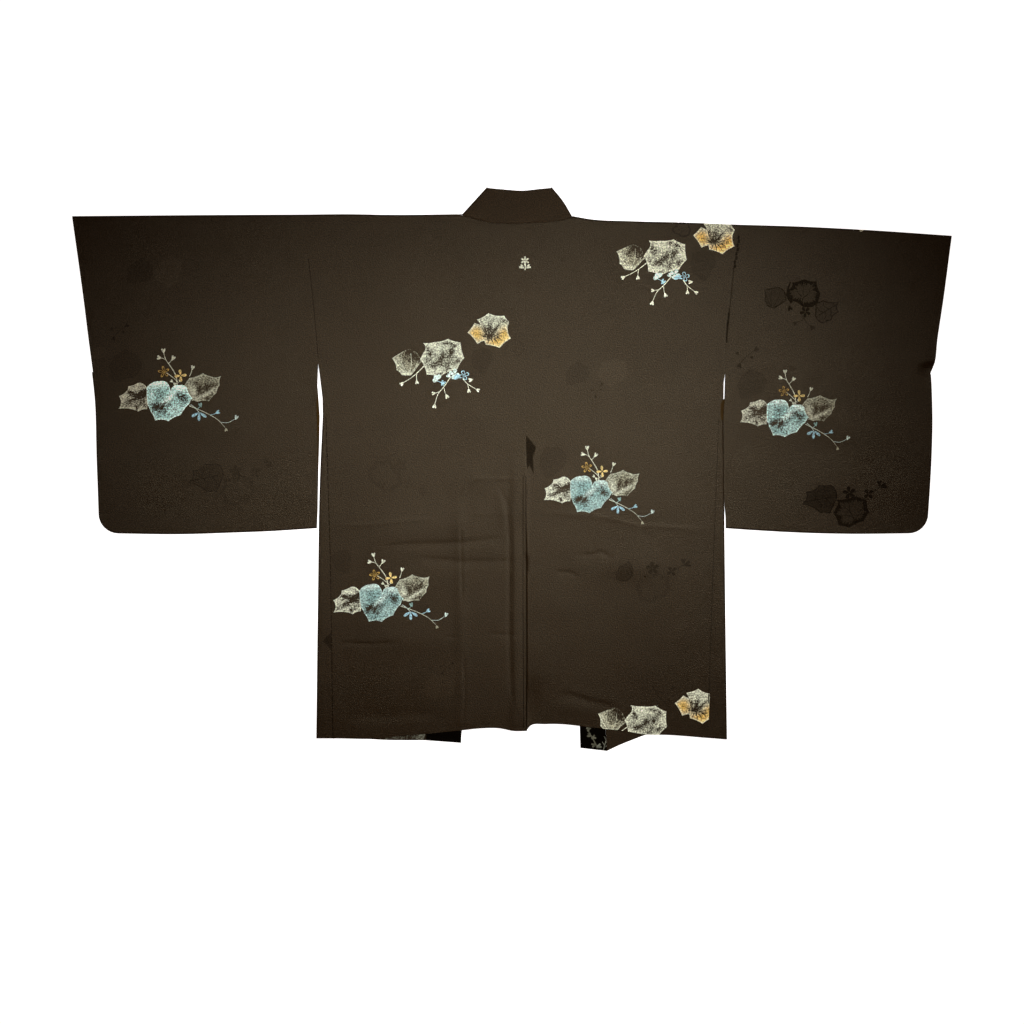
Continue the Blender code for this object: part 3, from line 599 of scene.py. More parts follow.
SEAM_SHADOW = (Woven(HOLLY._replace(strokes=(), tips=(
    Tip(-103, 26.7, 0), Tip(-96, 20, 0), Tip(-83, 34, 0), Tip(-71.6, 9.5, 0), Tip(43, 11, 0),
    Tip(106, 27, 0), Tip(180, 7.5, 0),
)), 0, 0, 0, 1.0, 1.6, DARK, BLACK),)


def painted_seam_shadow(line, width, weave, run=400.0, gap=0.0, wobble=0.0):
    """A painted shadow along a seam, in runs with gaps between them that step aside by the wobble."""
    line = np.asarray(line, float)
    length = lengths_along(line)[-1]
    found = []
    for k, start in enumerate(np.arange(0, length - 1, run + gap)):
        ends = np.array((start, min(start + run, length))) / length
        places = spaced(line, np.linspace(*ends, 5)) + ((-1) ** k * wobble, 0)
        found.append(Stroke(places, width, width, weave))
    return found


CREAM_BUD = (Stroke(((-3, 0), (0, 0.5), (3, 0)), 2.4, 1.6, CREAM), Bud(0, 0, 80, 4, CREAM))

Print = namedtuple("Print", "outline paint x y reach slot")
PRINT_STEP, STROKE_STEP = 1.4, 2.24
SEPALS = ((0, -0.75), (0.42, -0.1), (0.62, 0.5), (0.3, 0.72), (0, 0.34), (-0.3, 0.72), (-0.62, 0.5),
          (-0.42, -0.1))
PETAL_POINTS, PETAL_START, PETAL_BASE = 12, 0.08, 0.35  # a petal's base is that share of its full width
FAN_ANGLE = 56  # between the petals of a blossom of three
HOLLOW, HOLLOW_START = 0.62, 0.3  # the bare middle of an outlined petal
EDGE_UNEVEN = (0.5, 1.4)  # the least and the greatest width of a woven edge, as shares of its own
PATCH_COVER, PATCH_GAIN = 0.92, 0.6  # the cover that a patch works towards, and how far it gets
RIM_COVER, RIM_GAIN, RIM_TINT = 0.95, 0.85, 0.8  # the same for a rim, and how far its colour gets
BARE_RIM = 0.8  # how much of the rim is lost beside a bare patch


def leaf_outline(tips):
    """A closed outline through a leaf's tips, anticlockwise, each edge bowed by its tip's bulge."""
    ring = [(t.radius * np.cos(np.radians(t.angle)), t.radius * np.sin(np.radians(t.angle))) for t in tips]
    outline = []
    for tip, start, end in zip(tips, ring, ring[1:] + ring[:1]):
        start, end = np.array(start), np.array(end)
        chord = end - start
        control = (start + end) / 2 + np.array((chord[1], -chord[0])) * 2 * tip.bulge
        steps = max(3, int(np.hypot(*chord) / PRINT_STEP))
        for t in np.arange(steps) / steps:
            outline.append((1 - t) ** 2 * start + 2 * t * (1 - t) * control + t**2 * end)
    return np.array(outline)


def ribbon(stroke):
    """The outline of a stroke that narrows along a smooth curve."""
    middle = curve(stroke.line, STROKE_STEP)
    run = np.gradient(middle, axis=0)
    run /= np.linalg.norm(run, axis=1)[:, None]
    across = np.column_stack([-run[:, 1], run[:, 0]])
    half = np.linspace(stroke.start, stroke.end, len(middle))[:, None] / 2
    return np.concatenate([middle - across * half, (middle + across * half)[::-1]])


def bud_outline(bud):
    """Two rounded sepals that open from a narrow base."""
    return turned(np.array(SEPALS) * bud.size, bud.turn) + (bud.x, bud.y)


def petal_outline(length, width, start):
    t = np.linspace(0, 2 * np.pi, PETAL_POINTS, endpoint=False)
    along = start + (length - start) * (0.5 - 0.5 * np.cos(t))
    return np.column_stack([width * np.sin(t) * (PETAL_BASE + (1 - PETAL_BASE) * (along / length)), along])


def flat_paint(pigment):
    """Paint for a shape of one colour. A shape with no pigment shows the silk."""
    def paint(points):
        if pigment is None:
            return np.zeros((len(points), 3)), np.zeros(len(points))
        return np.tile(pigment, (len(points), 1)), np.ones(len(points))
    return paint


def rim_of(outline, points, width):
    ring = np.vstack([outline, outline[:1]])
    return np.exp(-((beside(*points.T, ring)[0] / width) ** 2))


def drawn_in(outline, depth):
    """A leaf's outline drawn in towards its middle, more in some places than in others."""
    ragged = np.random.default_rng(11).uniform(*EDGE_UNEVEN, len(outline))
    return outline * (1 - depth * ragged / np.linalg.norm(outline, axis=1))[:, None]


def leaf_paint(leaf, outline, place):
    """Paint for a leaf: its pigments and how densely they cover the silk, from its own patches and rim."""
    kind = leaf.kind

    def paint(points):
        local = (turned(place.back(points) - (leaf.x, leaf.y), -leaf.turn)) / leaf.size
        colour = np.tile(kind.pigment, (len(points), 1))
        cover = np.full(len(points), kind.cover * place.strength)
        bare = np.ones(len(points))
        for patch in kind.patches:
            at = turned(local - (patch.x, patch.y), -patch.turn)
            weight = patch.strength * np.exp(-((at[:, 0] / patch.long) ** 2) - (at[:, 1] / patch.wide) ** 2)
            if patch.pigment is None:
                cover = cover * (1 - weight)
                bare = bare * (1 - BARE_RIM * weight)
            else:
                colour = colour + (patch.pigment - colour) * weight[:, None]
                cover = cover + (PATCH_COVER - cover) * weight * PATCH_GAIN
        rim = rim_of(outline, points, kind.rim_width)
        rim *= bare * min(place.strength, 1)
        colour = colour + (kind.rim - colour) * rim[:, None] * RIM_TINT
        cover = cover + (RIM_COVER - cover) * rim * RIM_GAIN
        return colour * (place.blue if kind.pigment is BLUE else place.fade), cover
    return paint


class Place:
    """Where a spray lies on the flat cloth."""

    def __init__(self, x, y, turn=0.0, size=1.0, strength=1.0, fade=1.0, blue=1.0):
        self.at, self.turn, self.size = np.array((x, y)), turn, size
        self.strength = strength  # how densely its pigments cover the silk
        self.fade, self.blue = fade, blue  # how light its pigments are, and its blue leaves

    def on(self, points):
        return turned(np.asarray(points, float) * self.size, self.turn) + self.at

    def back(self, points):
        return turned(points - self.at, -self.turn) / self.size


def prints_of(design, place):
    """A spray's shapes in the order that they lie on each other."""
    found = []

    def add(outline, paint_for, slot=SILK):
        outline = place.on(outline)
        middle = outline.mean(axis=0)
        reach = np.linalg.norm(outline - middle, axis=1).max()
        found.append(Print(outline, paint_for(outline), *middle, reach, slot))

    def plain(outline, pigment):
        woven = isinstance(pigment, int)
        ink = None if woven or pigment is None else pigment * place.fade
        add(outline, lambda outline: flat_paint(ink), pigment if woven else SILK)

    for part in design:
        if isinstance(part, Stroke):
            plain(ribbon(part), part.pigment)
        elif isinstance(part, Bud):
            plain(bud_outline(part), part.pigment)
        elif isinstance(part, Blossom):
            for k in range(part.petals):
                angle = part.turn + (FAN_ANGLE * (k - 1) if part.petals == 3 else 360 * k / part.petals)
                for grow, pigment in ((1.0, part.pigment), (HOLLOW, NONE))[: 2 if part.outlined else 1]:
                    petal = petal_outline(part.length * (1 + grow) / 2, part.length * part.width * grow,
                                          part.length * (PETAL_START + HOLLOW_START * (1 - grow)))
                    plain(turned(petal, angle) + (part.x, part.y), pigment)
        else:
            leaf = part
            shape = leaf_outline(leaf.kind.tips) * leaf.size
            woven = isinstance(leaf, Woven)
            if woven:
                plain(turned(shape, leaf.turn) + (leaf.x, leaf.y), leaf.edge_weave)
                plain(turned(drawn_in(shape, leaf.edge), leaf.turn) + (leaf.x, leaf.y), leaf.weave)
            else:
                add(turned(shape, leaf.turn) + (leaf.x, leaf.y),
                    lambda outline: leaf_paint(leaf, outline, place))
            for stroke in leaf.kind.strokes:
                line = turned(ribbon(stroke) * leaf.size, leaf.turn) + (leaf.x, leaf.y)
                plain(line, leaf.edge_weave if woven else stroke.pigment)
    return found


# ---------------------------------------------------------------- cloth

FINE_STEP, COARSE_STEP = 4.0, 9.0  # between the points of the upper layer and of the lower one
ROW_SPACING = 0.87  # of the points' rows, as a share of the step
EDGE_CLEAR = 0.8  # how near an edge row may come to another edge, as a share of its own depth
MERGE_GAP = 1e-4  # points nearer than this become one
EDGE_ROWS = (0.6, 1.4, 2.8)
CREASE_ROWS = (-1.6, -0.8, 0, 0.8, 1.6)
PRINT_FILL, PRINT_FILL_FROM = 2.2, 12


class Bend:
    """A folded edge. It starts along a line, and the cloth past that line turns under to the lower layer."""

    def __init__(self, line, axis, side):
        line = np.array(sorted(map(tuple, line), key=lambda p: p[1 - axis]), float)
        self.along, self.across = line[:, 1 - axis], line[:, axis]
        self.axis, self.side = axis, side

    def start(self, along):
        return np.interp(along, self.along, self.across)

    def under(self, points):
        """The flat places of points that lie in the lower layer."""
        points = np.array(points, float)
        start = self.start(points[:, 1 - self.axis])
        points[:, self.axis] = 2 * start - points[:, self.axis] + self.side * BEND_RUN
        return points

    def depth(self, flat):
        """How far past the start of the bend a flat place is."""
        return self.side * (flat[:, self.axis] - self.start(flat[:, 1 - self.axis]))

    def rows(self):
        """Flat points that carry the cloth round the bend."""
        along = np.arange(self.along[0], self.along[-1], FINE_STEP)
        found = []
        for depth in np.linspace(0, BEND_RUN, BEND_ROWS + 1):
            row = np.column_stack([along, along])
            row[:, self.axis] = self.start(along) + self.side * depth
            found.append(row)
        return np.concatenate(found)

    def step_at(self, flat):
        return np.where(self.depth(flat) > BEND_RUN, COARSE_STEP, FINE_STEP)

    def across_at(self, point):
        """The flat points that take an edge round the bend, from a point where the bend starts."""
        points = np.tile(np.asarray(point, float), (BEND_ROWS + 1, 1))
        points[:, self.axis] += self.side * np.linspace(0, BEND_RUN, BEND_ROWS + 1)
        return points

    def lay(self, flat):
        """The places in space of flat points."""
        start, depth = self.start(flat[:, 1 - self.axis]), self.depth(flat)
        angle = np.clip(depth / BEND_RUN, 0, 1) * np.pi
        out = np.where(depth < 0, depth, np.where(depth < BEND_RUN, BEND * np.sin(angle), BEND_RUN - depth))
        plan = flat.copy()
        plan[:, self.axis] = start + self.side * out
        edge = plan.copy()
        edge[:, self.axis] = start
        over = np.where(depth < 0, upper_height(*plan.T), upper_height(*edge.T))
        under = (1 - np.cos(angle)) / 2
        return np.column_stack([plan, over + (LOWER - over) * under])


class Cloth:
    """One cut piece of cloth as a sheet halfway through it, which Solidify then thickens."""

    def __init__(self):
        self.bm = bmesh.new()
        self.flat = self.bm.verts.layers.float_vector.new("flat")
        self.dye = self.bm.loops.layers.float_color.new("dye")
        self.area = 0.0

    def cut(self, outline, lay, step_at, prints=(), creases=(), bend=None):
        """Fills an outline, drawn flat, with triangles that follow the prints, and lays it.

        Returns the outline's own points as they lie.
        """
        low, high = outline.min(axis=0), outline.max(axis=0)
        ring = np.vstack([outline, outline[:1]])
        points = []
        for step in (FINE_STEP, COARSE_STEP):
            columns = np.arange(low[0], high[0], step)
            for k, y in enumerate(np.arange(low[1] + step / 2, high[1], step * ROW_SPACING)):
                row = np.column_stack([columns + (step / 2 if k % 2 else 0), np.full(len(columns), y)])
                points.append(row[step_at(row) == step])
        for crease in creases:
            middle = curve(crease.line, FINE_STEP)
            run = np.gradient(middle, axis=0)
            across = np.column_stack([run[:, 1], -run[:, 0]]) / np.linalg.norm(run, axis=1)[:, None]
            for share in CREASE_ROWS:
                points.append(middle + across * share * (crease.left if share < 0 else crease.right))
        near = [p for p in prints if np.all(low - p.reach < (p.x, p.y)) and np.all(high + p.reach > (p.x,
                                                                                                     p.y))]
        for shape in near:
            if shape.reach > PRINT_FILL_FROM:
                span = np.arange(-shape.reach, shape.reach, PRINT_FILL)
                fill = np.stack(np.meshgrid(span, span), axis=-1).reshape(-1, 2) + (shape.x, shape.y)
                points.append(fill[inside(fill, shape.outline)])
        points = np.concatenate(points)
        if bend is not None:
            depth = bend.depth(points)
            points = points[(depth < -EDGE_ROWS[1]) | (depth > BEND_RUN + EDGE_ROWS[1])]
        points = points[inside(points, outline)]
        points = points[np.abs(beside(*points.T, ring)[0]) > EDGE_ROWS[-1] + EDGE_ROWS[1]]
        if bend is not None:
            rows = bend.rows()
            rows = rows[inside(rows, outline)]
            points = np.vstack([points, rows[np.abs(beside(*rows.T, ring)[0]) > EDGE_ROWS[0]]])
        run = np.roll(outline, -1, axis=0) - np.roll(outline, 1, axis=0)
        inwards = np.column_stack([-run[:, 1], run[:, 0]]) / np.linalg.norm(run, axis=1)[:, None]
        turns = outline[:, 0] * np.roll(outline[:, 1], -1) - np.roll(outline[:, 0], -1) * outline[:, 1]
        for depth in EDGE_ROWS:
            row = outline + inwards * depth * np.sign(turns.sum())
            row = row[inside(row, outline)]
            clear = np.abs(beside(*row.T, ring)[0]) > depth * EDGE_CLEAR
            points = np.vstack([points, row[clear]])

        everything = [outline] + [shape.outline for shape in near] + [points]
        starts = np.cumsum([0] + [len(e) for e in everything])
        faces = [list(range(a, b)) for a, b in zip(starts, starts[1:-1])]
        if turns.sum() < 0:
            faces[0].reverse()
        vectors = [Vector(p) for p in np.concatenate(everything)]
        places, _, triangles, origins, _, owners = delaunay_2d_cdt(vectors, [], faces, 0, MERGE_GAP, True)
        flat = np.array([tuple(p) for p in places])
        verts = [self.bm.verts.new(p) for p in lay(flat)]
        for vert, place in zip(verts, flat):
            vert[self.flat] = (*place, 0)
        triangles, owners = zip(*[(t, o) for t, o in zip(triangles, owners) if 0 in o])
        triangles = np.array(triangles)
        corners = flat[triangles]
        one, two = corners[:, 1] - corners[:, 0], corners[:, 2] - corners[:, 0]
        self.area += np.abs(one[:, 0] * two[:, 1] - one[:, 1] * two[:, 0]).sum() / 2
        dyes = np.zeros((len(triangles), 3, 4))
        slots = np.where(step_at(corners.mean(axis=1)) == COARSE_STEP, LOWER_SILK, SILK)
        top = np.array([max(o) for o in owners])
        for k, shape in enumerate(near, start=1):
            mine = np.nonzero(top == k)[0]
            if len(mine):
                colour, cover = shape.paint(corners[mine].reshape(-1, 2))
                dyes[mine, :, :3], dyes[mine, :, 3] = colour.reshape(-1, 3, 3), cover.reshape(-1, 3)
                slots[mine] = shape.slot or slots[mine]
        for triangle, dyed, slot in zip(triangles.tolist(), dyes.tolist(), slots.tolist()):
            face = self.bm.faces.new([verts[i] for i in triangle])
            face.material_index = slot
            for loop, colour in zip(face.loops, dyed):
                loop[self.dye] = colour
        found = {origin: vert for vert, origin_list in zip(verts, origins) for origin in origin_list}
        for vert in [v for v in verts if not v.link_faces]:
            self.bm.verts.remove(vert)
        return [found[i] for i in range(len(outline))]

    def round_edge(self, over, under, side):
        """Carries the cloth round a folded or sewn edge, from upper points to the lower ones beneath them."""
        angles = np.linspace(0, np.pi, BEND_ROWS + 1)[1:-1]
        rows = [[] for _ in angles]
        for i, (top, low) in enumerate(zip(over, under, strict=True)):
            run = over[min(i + 1, len(over) - 1)].co - over[max(i - 1, 0)].co
            out = Vector((run.y, -run.x, 0)).normalized() * side
            centre, radius = (top.co + low.co) / 2, (top.co.z - low.co.z) / 2
            for row, angle in zip(rows, angles):
                vert = self.bm.verts.new(centre + (Vector((0, 0,
                                                           np.cos(angle))) + out * np.sin(angle)) * radius)
                vert[self.flat] = top[self.flat] + out * radius * angle
                row.append(vert)
        rows = [over, *rows, under]
        for high, low in zip(rows, rows[1:]):
            for corners in zip(high, high[1:], low[1:], low):
                face = self.bm.faces.new(corners)
                face.material_index = SILK
                for loop in face.loops:
                    loop[self.dye] = (0, 0, 0, 0)
        self.area += lengths_along(np.array([tuple(v.co) for v in over]))[-1] * np.pi * radius

    def make(self, name, cloth, materials):
        bm = self.bm
        bmesh.ops.recalc_face_normals(bm, faces=bm.faces[:])
        if max(bm.faces, key=lambda f: f.calc_area() * (f.material_index == SILK)).normal.z < 0:
            bmesh.ops.reverse_faces(bm, faces=bm.faces[:])
        for edge in bm.edges:
            edge.smooth = not edge.is_boundary
        weave = bm.loops.layers.uv.new("cloth")
        for face in bm.faces:
            for loop in face.loops:
                loop[weave].uv = loop.vert[self.flat].xy * MM
        bmesh.ops.scale(bm, verts=bm.verts[:], vec=(MM, MM, MM))
        bm.verts.layers.float_vector.remove(self.flat)
        mesh = bpy.data.meshes.new(name)
        bm.to_mesh(mesh)
        bm.free()
        mesh.shade_smooth()
        for material in materials:
            mesh.materials.append(material)
        piece = bpy.data.objects.new(name, mesh)
        bpy.context.scene.collection.objects.link(piece)
        wall = piece.modifiers.new("wall", "SOLIDIFY")
        wall.thickness = cloth * MM
        wall.offset = 0
        wall.material_offset = 1
        return piece


# ---------------------------------------------------------------- the pieces

CORNER_PARTS = 8
GUSSET_PARTS, GUSSET_TOP_PARTS = 5, 2  # straight parts across a gusset's end, and across its back half's top


def arc(corner, side, reach):
    """The sleeve's round corner, drawn in by reach, from its bottom to its outer edge."""
    angles = np.radians(np.linspace(-90, 0, CORNER_PARTS + 1))
    radius = corner.radius - reach
    return np.column_stack([corner.x + side * radius * np.cos(angles), corner.y + radius * np.sin(angles)])


def body(name, lines, gusset, sleeve, neck, side, prints, materials):
    """Half of the back and the front of the same side, one length of cloth that turns over the shoulder."""
    shoulder = moved(lines.shoulder, y=-FOLD_REACH)
    shoulder[0] = neck[-1]
    bend = Bend(curve(shoulder, FINE_STEP), 1, 1)
    armhole = [*sleeve.armhole[:-1], shoulder[-1]]
    centre = curve([lines.back_hem[0], *CENTRE_SEAM[1:]], FINE_STEP)
    back_side = [curve(gusset.back_seam, FINE_STEP), straight(lines.open_side, FINE_STEP),
                 curve(armhole, FINE_STEP)]
    front_side = [
        curve(armhole, FINE_STEP)[::-1], straight(lines.under_open_side, FINE_STEP)[::-1],
        curve(gusset.front_seam, FINE_STEP)[::-1],
    ]
    tongue = bend.across_at(neck[-1])
    tongue[:, 0] -= side * NECK_TONGUE * np.sin(np.linspace(0, np.pi, len(tongue)))
    outline = joined(
        curve(lines.back_hem, FINE_STEP), *back_side, bend.across_at(armhole[-1]),
        *[bend.under(run) for run in front_side], bend.under(curve(lines.front_hem, FINE_STEP)[::-1]),
        bend.under(curve([*lines.collar_seam[:-1], neck[-1]], FINE_STEP)), tongue[::-1],
        curve(neck, FINE_STEP)[::-1], centre[::-1],
    )
    cloth = Cloth()
    cloth.cut(outline, bend.lay, bend.step_at, prints, SHARP_CREASES, bend)
    piece = cloth.make(name, CLOTH, materials)
    return piece


def sleeve(name, lines, side, prints, materials):
    """One length of cloth folded at the shoulder and sewn along its bottom and below the hand's opening."""
    top = moved(lines.top, y=-FOLD_REACH)
    bend = Bend(curve(top, FINE_STEP), 1, 1)
    bottom = curve(moved(lines.bottom, y=FOLD_REACH), FINE_STEP)[::-1]
    corner = arc(lines.corner, side, FOLD_REACH)
    outer = curve([corner[-1], *moved(lines.outer[1:-1], x=-side * FOLD_REACH), lines.outer[-1]], FINE_STEP)
    sewn = np.concatenate([bottom[:-1], corner[:-1], outer])
    opening = curve([*lines.opening[:-1], top[-1]], FINE_STEP)
    inner = straight([sewn[0], *lines.inner], FINE_STEP)
    under_inner = straight([sewn[0], *lines.under_inner], FINE_STEP)
    armhole = curve([*lines.armhole[:-1], top[0]], FINE_STEP)
    runs = [
        sewn, opening, bend.across_at(top[-1]), bend.under(opening[::-1]), bend.under(sewn[::-1]),
        bend.under(under_inner), bend.under(armhole), bend.across_at(top[0])[::-1], armhole[::-1],
        inner[::-1],
    ]
    outline = joined(*runs)
    cloth = Cloth()
    found = cloth.cut(outline, bend.lay, bend.step_at, prints, SHARP_CREASES, bend)
    under = sum(len(run) - 1 for run in runs[:4])
    cloth.round_edge(found[: len(sewn)], found[under : under + len(sewn)][::-1], side)
    piece = cloth.make(name, CLOTH, materials)
    return piece


def gusset(name, lines, side, prints, materials):
    """The long wedge of cloth let in between the back and the front, folded along the jacket's side."""
    fold = moved(lines.fold, x=-side * FOLD_REACH)
    bend = Bend(curve(fold, FINE_STEP), 0, side)
    ends = zip((0, -1), (GUSSET_PARTS, GUSSET_TOP_PARTS))
    across = [spaced([lines.back_seam[k], fold[k]], np.linspace(0, 1, parts + 1)) for k, parts in ends]
    shares = np.linspace(0, 1, GUSSET_PARTS + 1)
    under = [bend.under(spaced([fold[k], lines.front_seam[k]], shares)) for k in (0, -1)]
    outline = joined(
        curve(lines.back_seam, FINE_STEP)[::-1], across[0], bend.across_at(fold[0]), under[0],
        bend.under(curve(lines.front_seam, FINE_STEP)), under[1][::-1], bend.across_at(fold[-1])[::-1],
        across[1][::-1],
    )
    cloth = Cloth()
    cloth.cut(outline, bend.lay, bend.step_at, prints, bend=bend)
    piece = cloth.make(name, CLOTH, materials)
    return piece


def collar_height(x, y):
    seams = [beside(x, y, neck)[0] for neck in (NECK_LEFT, NECK_RIGHT)]
    dip = sum(np.exp(-((aside / COLLAR_DIP_WIDTH) ** 2)) for aside in seams)
    return COLLAR_UPPER - COLLAR_DIP * np.minimum(dip, 1)


def neckband(name, prints, materials):
    """The band round the neck: one layer behind the neck, turned under at each side to run down a front."""
    necks, folds = [], []
    for neck, lines in ((NECK_LEFT, LEFT_BODY), (NECK_RIGHT, RIGHT_BODY)):
        points = np.array(neck, float)
        back_along = points[-2] - points[-1]
        points[-1] += back_along * COLLAR_FOLD_ROOM / np.linalg.norm(back_along)
        necks.append(curve(points, FINE_STEP))
        high = np.array(lines.collar_edge[-1]) - (0, COLLAR_FOLD_RISE)
        middle = (points[-1] + high) / 2
        if high[0] > 0:
            run = high - points[-1]
            middle += np.array((run[1], -run[0])) / np.linalg.norm(run) * COLLAR_BULGE
        folds.append(curve([points[-1], middle, high], FINE_STEP))
    top = curve([folds[0][-1], *COLLAR_TOP[1:-1], folds[1][-1]], FINE_STEP)
    outline = joined(necks[0][::-1], necks[1], folds[1], top[::-1], folds[0][::-1])
    cloth = Cloth()

    def fine(flat):
        return np.full(len(flat), FINE_STEP)

    def coarse(flat):
        return np.full(len(flat), COARSE_STEP)

    def over(flat):
        return np.column_stack([flat, collar_height(*flat.T)])

    def flat_down(flat):
        return np.column_stack([flat, np.full(len(flat), COLLAR_LOWER)])

    found = cloth.cut(outline, over, fine)
    right = len(necks[0]) + len(necks[1]) - 2
    upper_folds = [
        [found[0], *found[: -len(folds[0]) : -1]],
        found[right : right + len(folds[1])],
    ]
    for side, lines, fold, chain in zip((-1, 1), (LEFT_BODY, RIGHT_BODY), folds, upper_folds):
        edge = curve([fold[-1], *lines.collar_edge[-2::-1]], FINE_STEP)
        seam = curve([lines.collar_seam[0], fold[0]], FINE_STEP)
        end = curve([edge[-1], seam[0]], FINE_STEP)
        lower = cloth.cut(joined(fold, edge, end, seam), flat_down, coarse, prints)
        cloth.round_edge(chain, lower[: len(fold)], side)
    piece = cloth.make(name, COLLAR_CLOTH, materials)
    return piece


# ---------------------------------------------------------------- materials

GROUND = (0.0092, 0.0043, 0.0010, 1)
BAND_GROUND = (0.0140, 0.0062, 0.0015, 1)
# Painted shade: a near-black ground for the neckband's lower layer, whose ends show at the hem.
PAINTED_SHADE_BAND = (0.0014, 0.0008, 0.0004, 1)
SILK_SHINE = (1.0, 0.83, 0.56, 1)
LINING = (0.026, 0.0115, 0.0014, 1)
LINING_SHINE = (1, 0.75, 0.35, 1)
PAPER_WHITE = (0.9, 0.9, 0.9, 1)

# The silk. A scale is how many spots a noise has to the metre, and a pair holds its least and greatest value.
CLOUD_SCALE, CLOUDS = 22, (0.92, 1.08)
GRAIN_SCALE, GRAIN_DULLNESS = 580, 0.045
THREAD_SCALE, THREAD_STRETCH, THREAD_SHARE = 480, 5, 0.3
CREPE_DEPTH = 0.00016

# The pigment. Its specks show where their noise, a slower drift and the paint's cover come to more than 0.
SPECKLE_SCALE, DRIFT_SCALE, DRIFT, SPECK_EDGE = 480, 150, (-1.27, -0.97), 0.46
COVER_GAIN, LEAST_COVER = 1.3, 0.15
STRENGTH_SCALE, STRENGTH = 370, (0.56, 1.52)
FROST_SCALE, FROST_FROM, FROST_TO, FROST = 290, 0.72, 0.92, 1.35
PIGMENT_DULLNESS = 0.18

# The lining
LINING_CLOUD_SCALE, LINING_CLOUDS = 30, (0.85, 1.15)
RIB_SCALE, RIB_DULLNESS, RIB_DEPTH = 1400, 0.05, 0.00006


class Recipe:
    """A material, and the nodes that feed its shader."""

    def __init__(self, name):
        self.material = bpy.data.materials.new(name)
        self.material.use_nodes = True
        self.tree = self.material.node_tree
        self.shader = self.tree.nodes["Principled BSDF"]

    def feed(self, socket, value):
        if isinstance(value, bpy.types.NodeSocket):
            self.tree.links.new(value, socket)
        else:
            socket.default_value = value

    def node(self, kind, **settings):
        node = self.tree.nodes.new("ShaderNode" + kind)
        for key, value in settings.items():
            setattr(node, key, value)
        return node

    def maths(self, operation, *values):
        node = self.node("Math", operation=operation)
        for socket, value in zip(node.inputs, values):
            self.feed(socket, value)
        return node.outputs[0]

    def noise(self, place, scale, detail=1.0):
        """Noise spread out to fill most of 0 to 1."""
        node = self.node("TexNoise")
        self.feed(node.inputs["Vector"], place)
        self.feed(node.inputs["Scale"], scale)
        self.feed(node.inputs["Detail"], detail)
        return self.ramp(node.outputs[0], 0.28, 0.72, kind="LINEAR")

    def stretched(self, place, across, up):
        node = self.node("Mapping")
        self.feed(node.inputs["Vector"], place)
        self.feed(node.inputs["Scale"], (across, up, 1))
        return node.outputs[0]

    def ramp(self, value, low, high, bottom=0.0, top=1.0, kind="SMOOTHSTEP"):
        node = self.node("MapRange", interpolation_type=kind)
        for socket, number in zip(node.inputs, (value, low, high, bottom, top)):
            self.feed(socket, number)
        return node.outputs[0]

    def blend(self, share, one, other):
        node = self.node("Mix", data_type="RGBA")
        self.feed(node.inputs[0], share)
        self.feed(node.inputs[6], one)
        self.feed(node.inputs[7], other)
        return node.outputs[2]

    def scaled(self, colour, amount):
        node = self.node("VectorMath", operation="SCALE")
        self.feed(node.inputs[0], colour)
        self.feed(node.inputs["Scale"], amount)
        return node.outputs[0]

    def bump(self, height, depth):
        node = self.node("Bump")
        self.feed(node.inputs["Strength"], 1.0)
        self.feed(node.inputs["Distance"], depth)
        self.feed(node.inputs["Height"], height)
        self.feed(self.shader.inputs["Normal"], node.outputs[0])

    def finish(self, **values):
        for key, value in values.items():
            self.feed(self.shader.inputs[key.replace("_", " ")], value)
        return self.material


def printed_silk(name, ground, roughness, gloss, shade=1.0):
    """Dark crepe silk, printed in speckled pigments. A woven figure is the same silk with another shine, and
    painted shade is the same silk made darker and duller.
    """
    recipe = Recipe(name)
    place = recipe.node("UVMap", uv_map="cloth").outputs[0]
    dyed = recipe.node("Attribute", attribute_name="dye")
    clouds = recipe.ramp(recipe.noise(place, CLOUD_SCALE, 2), 0, 1, *CLOUDS)
    grain = recipe.noise(place, GRAIN_SCALE, 2)
    warp, weft = recipe.stretched(place, THREAD_STRETCH, 1), recipe.stretched(place, 1, THREAD_STRETCH)
    threads = recipe.maths("ADD", recipe.noise(warp, THREAD_SCALE), recipe.noise(weft, THREAD_SCALE))
    fleck = recipe.ramp(grain, 0, 1, 0.0, 2.0 * shade)
    tint = recipe.node("RGB").outputs[0]
    tint.default_value = ground
    silk = recipe.scaled(tint, recipe.maths("MULTIPLY", clouds, fleck))
    speckle = recipe.noise(place, SPECKLE_SCALE, 2.5)
    drift = recipe.ramp(recipe.noise(place, DRIFT_SCALE, 1), 0, 1, *DRIFT)
    level = recipe.maths("MULTIPLY_ADD", dyed.outputs["Alpha"], COVER_GAIN,
                         recipe.maths("ADD", speckle, drift))
    printed = recipe.ramp(dyed.outputs["Alpha"], 0, LEAST_COVER)
    mask = recipe.maths("MULTIPLY", recipe.ramp(level, -SPECK_EDGE, SPECK_EDGE), printed)
    strength = recipe.noise(recipe.stretched(place, 1.02, 1.01), STRENGTH_SCALE, 2)
    strength = recipe.ramp(strength, 0.1, 1, *STRENGTH)
    frost = recipe.ramp(recipe.noise(place, FROST_SCALE, 1), FROST_FROM, FROST_TO, 1.0, FROST)
    pigment = recipe.scaled(dyed.outputs["Color"], recipe.maths("MULTIPLY", strength, frost))
    colour = recipe.blend(mask, silk, pigment)
    dull = recipe.ramp(grain, 0, 1, roughness + GRAIN_DULLNESS, roughness - GRAIN_DULLNESS)
    dull = recipe.maths("MULTIPLY_ADD", mask, PIGMENT_DULLNESS, dull)
    recipe.bump(recipe.maths("MULTIPLY_ADD", threads, THREAD_SHARE, grain), CREPE_DEPTH)
    return recipe.finish(Base_Color=colour, Roughness=dull, Specular_IOR_Level=gloss,
                         Specular_Tint=SILK_SHINE, IOR=1.45)


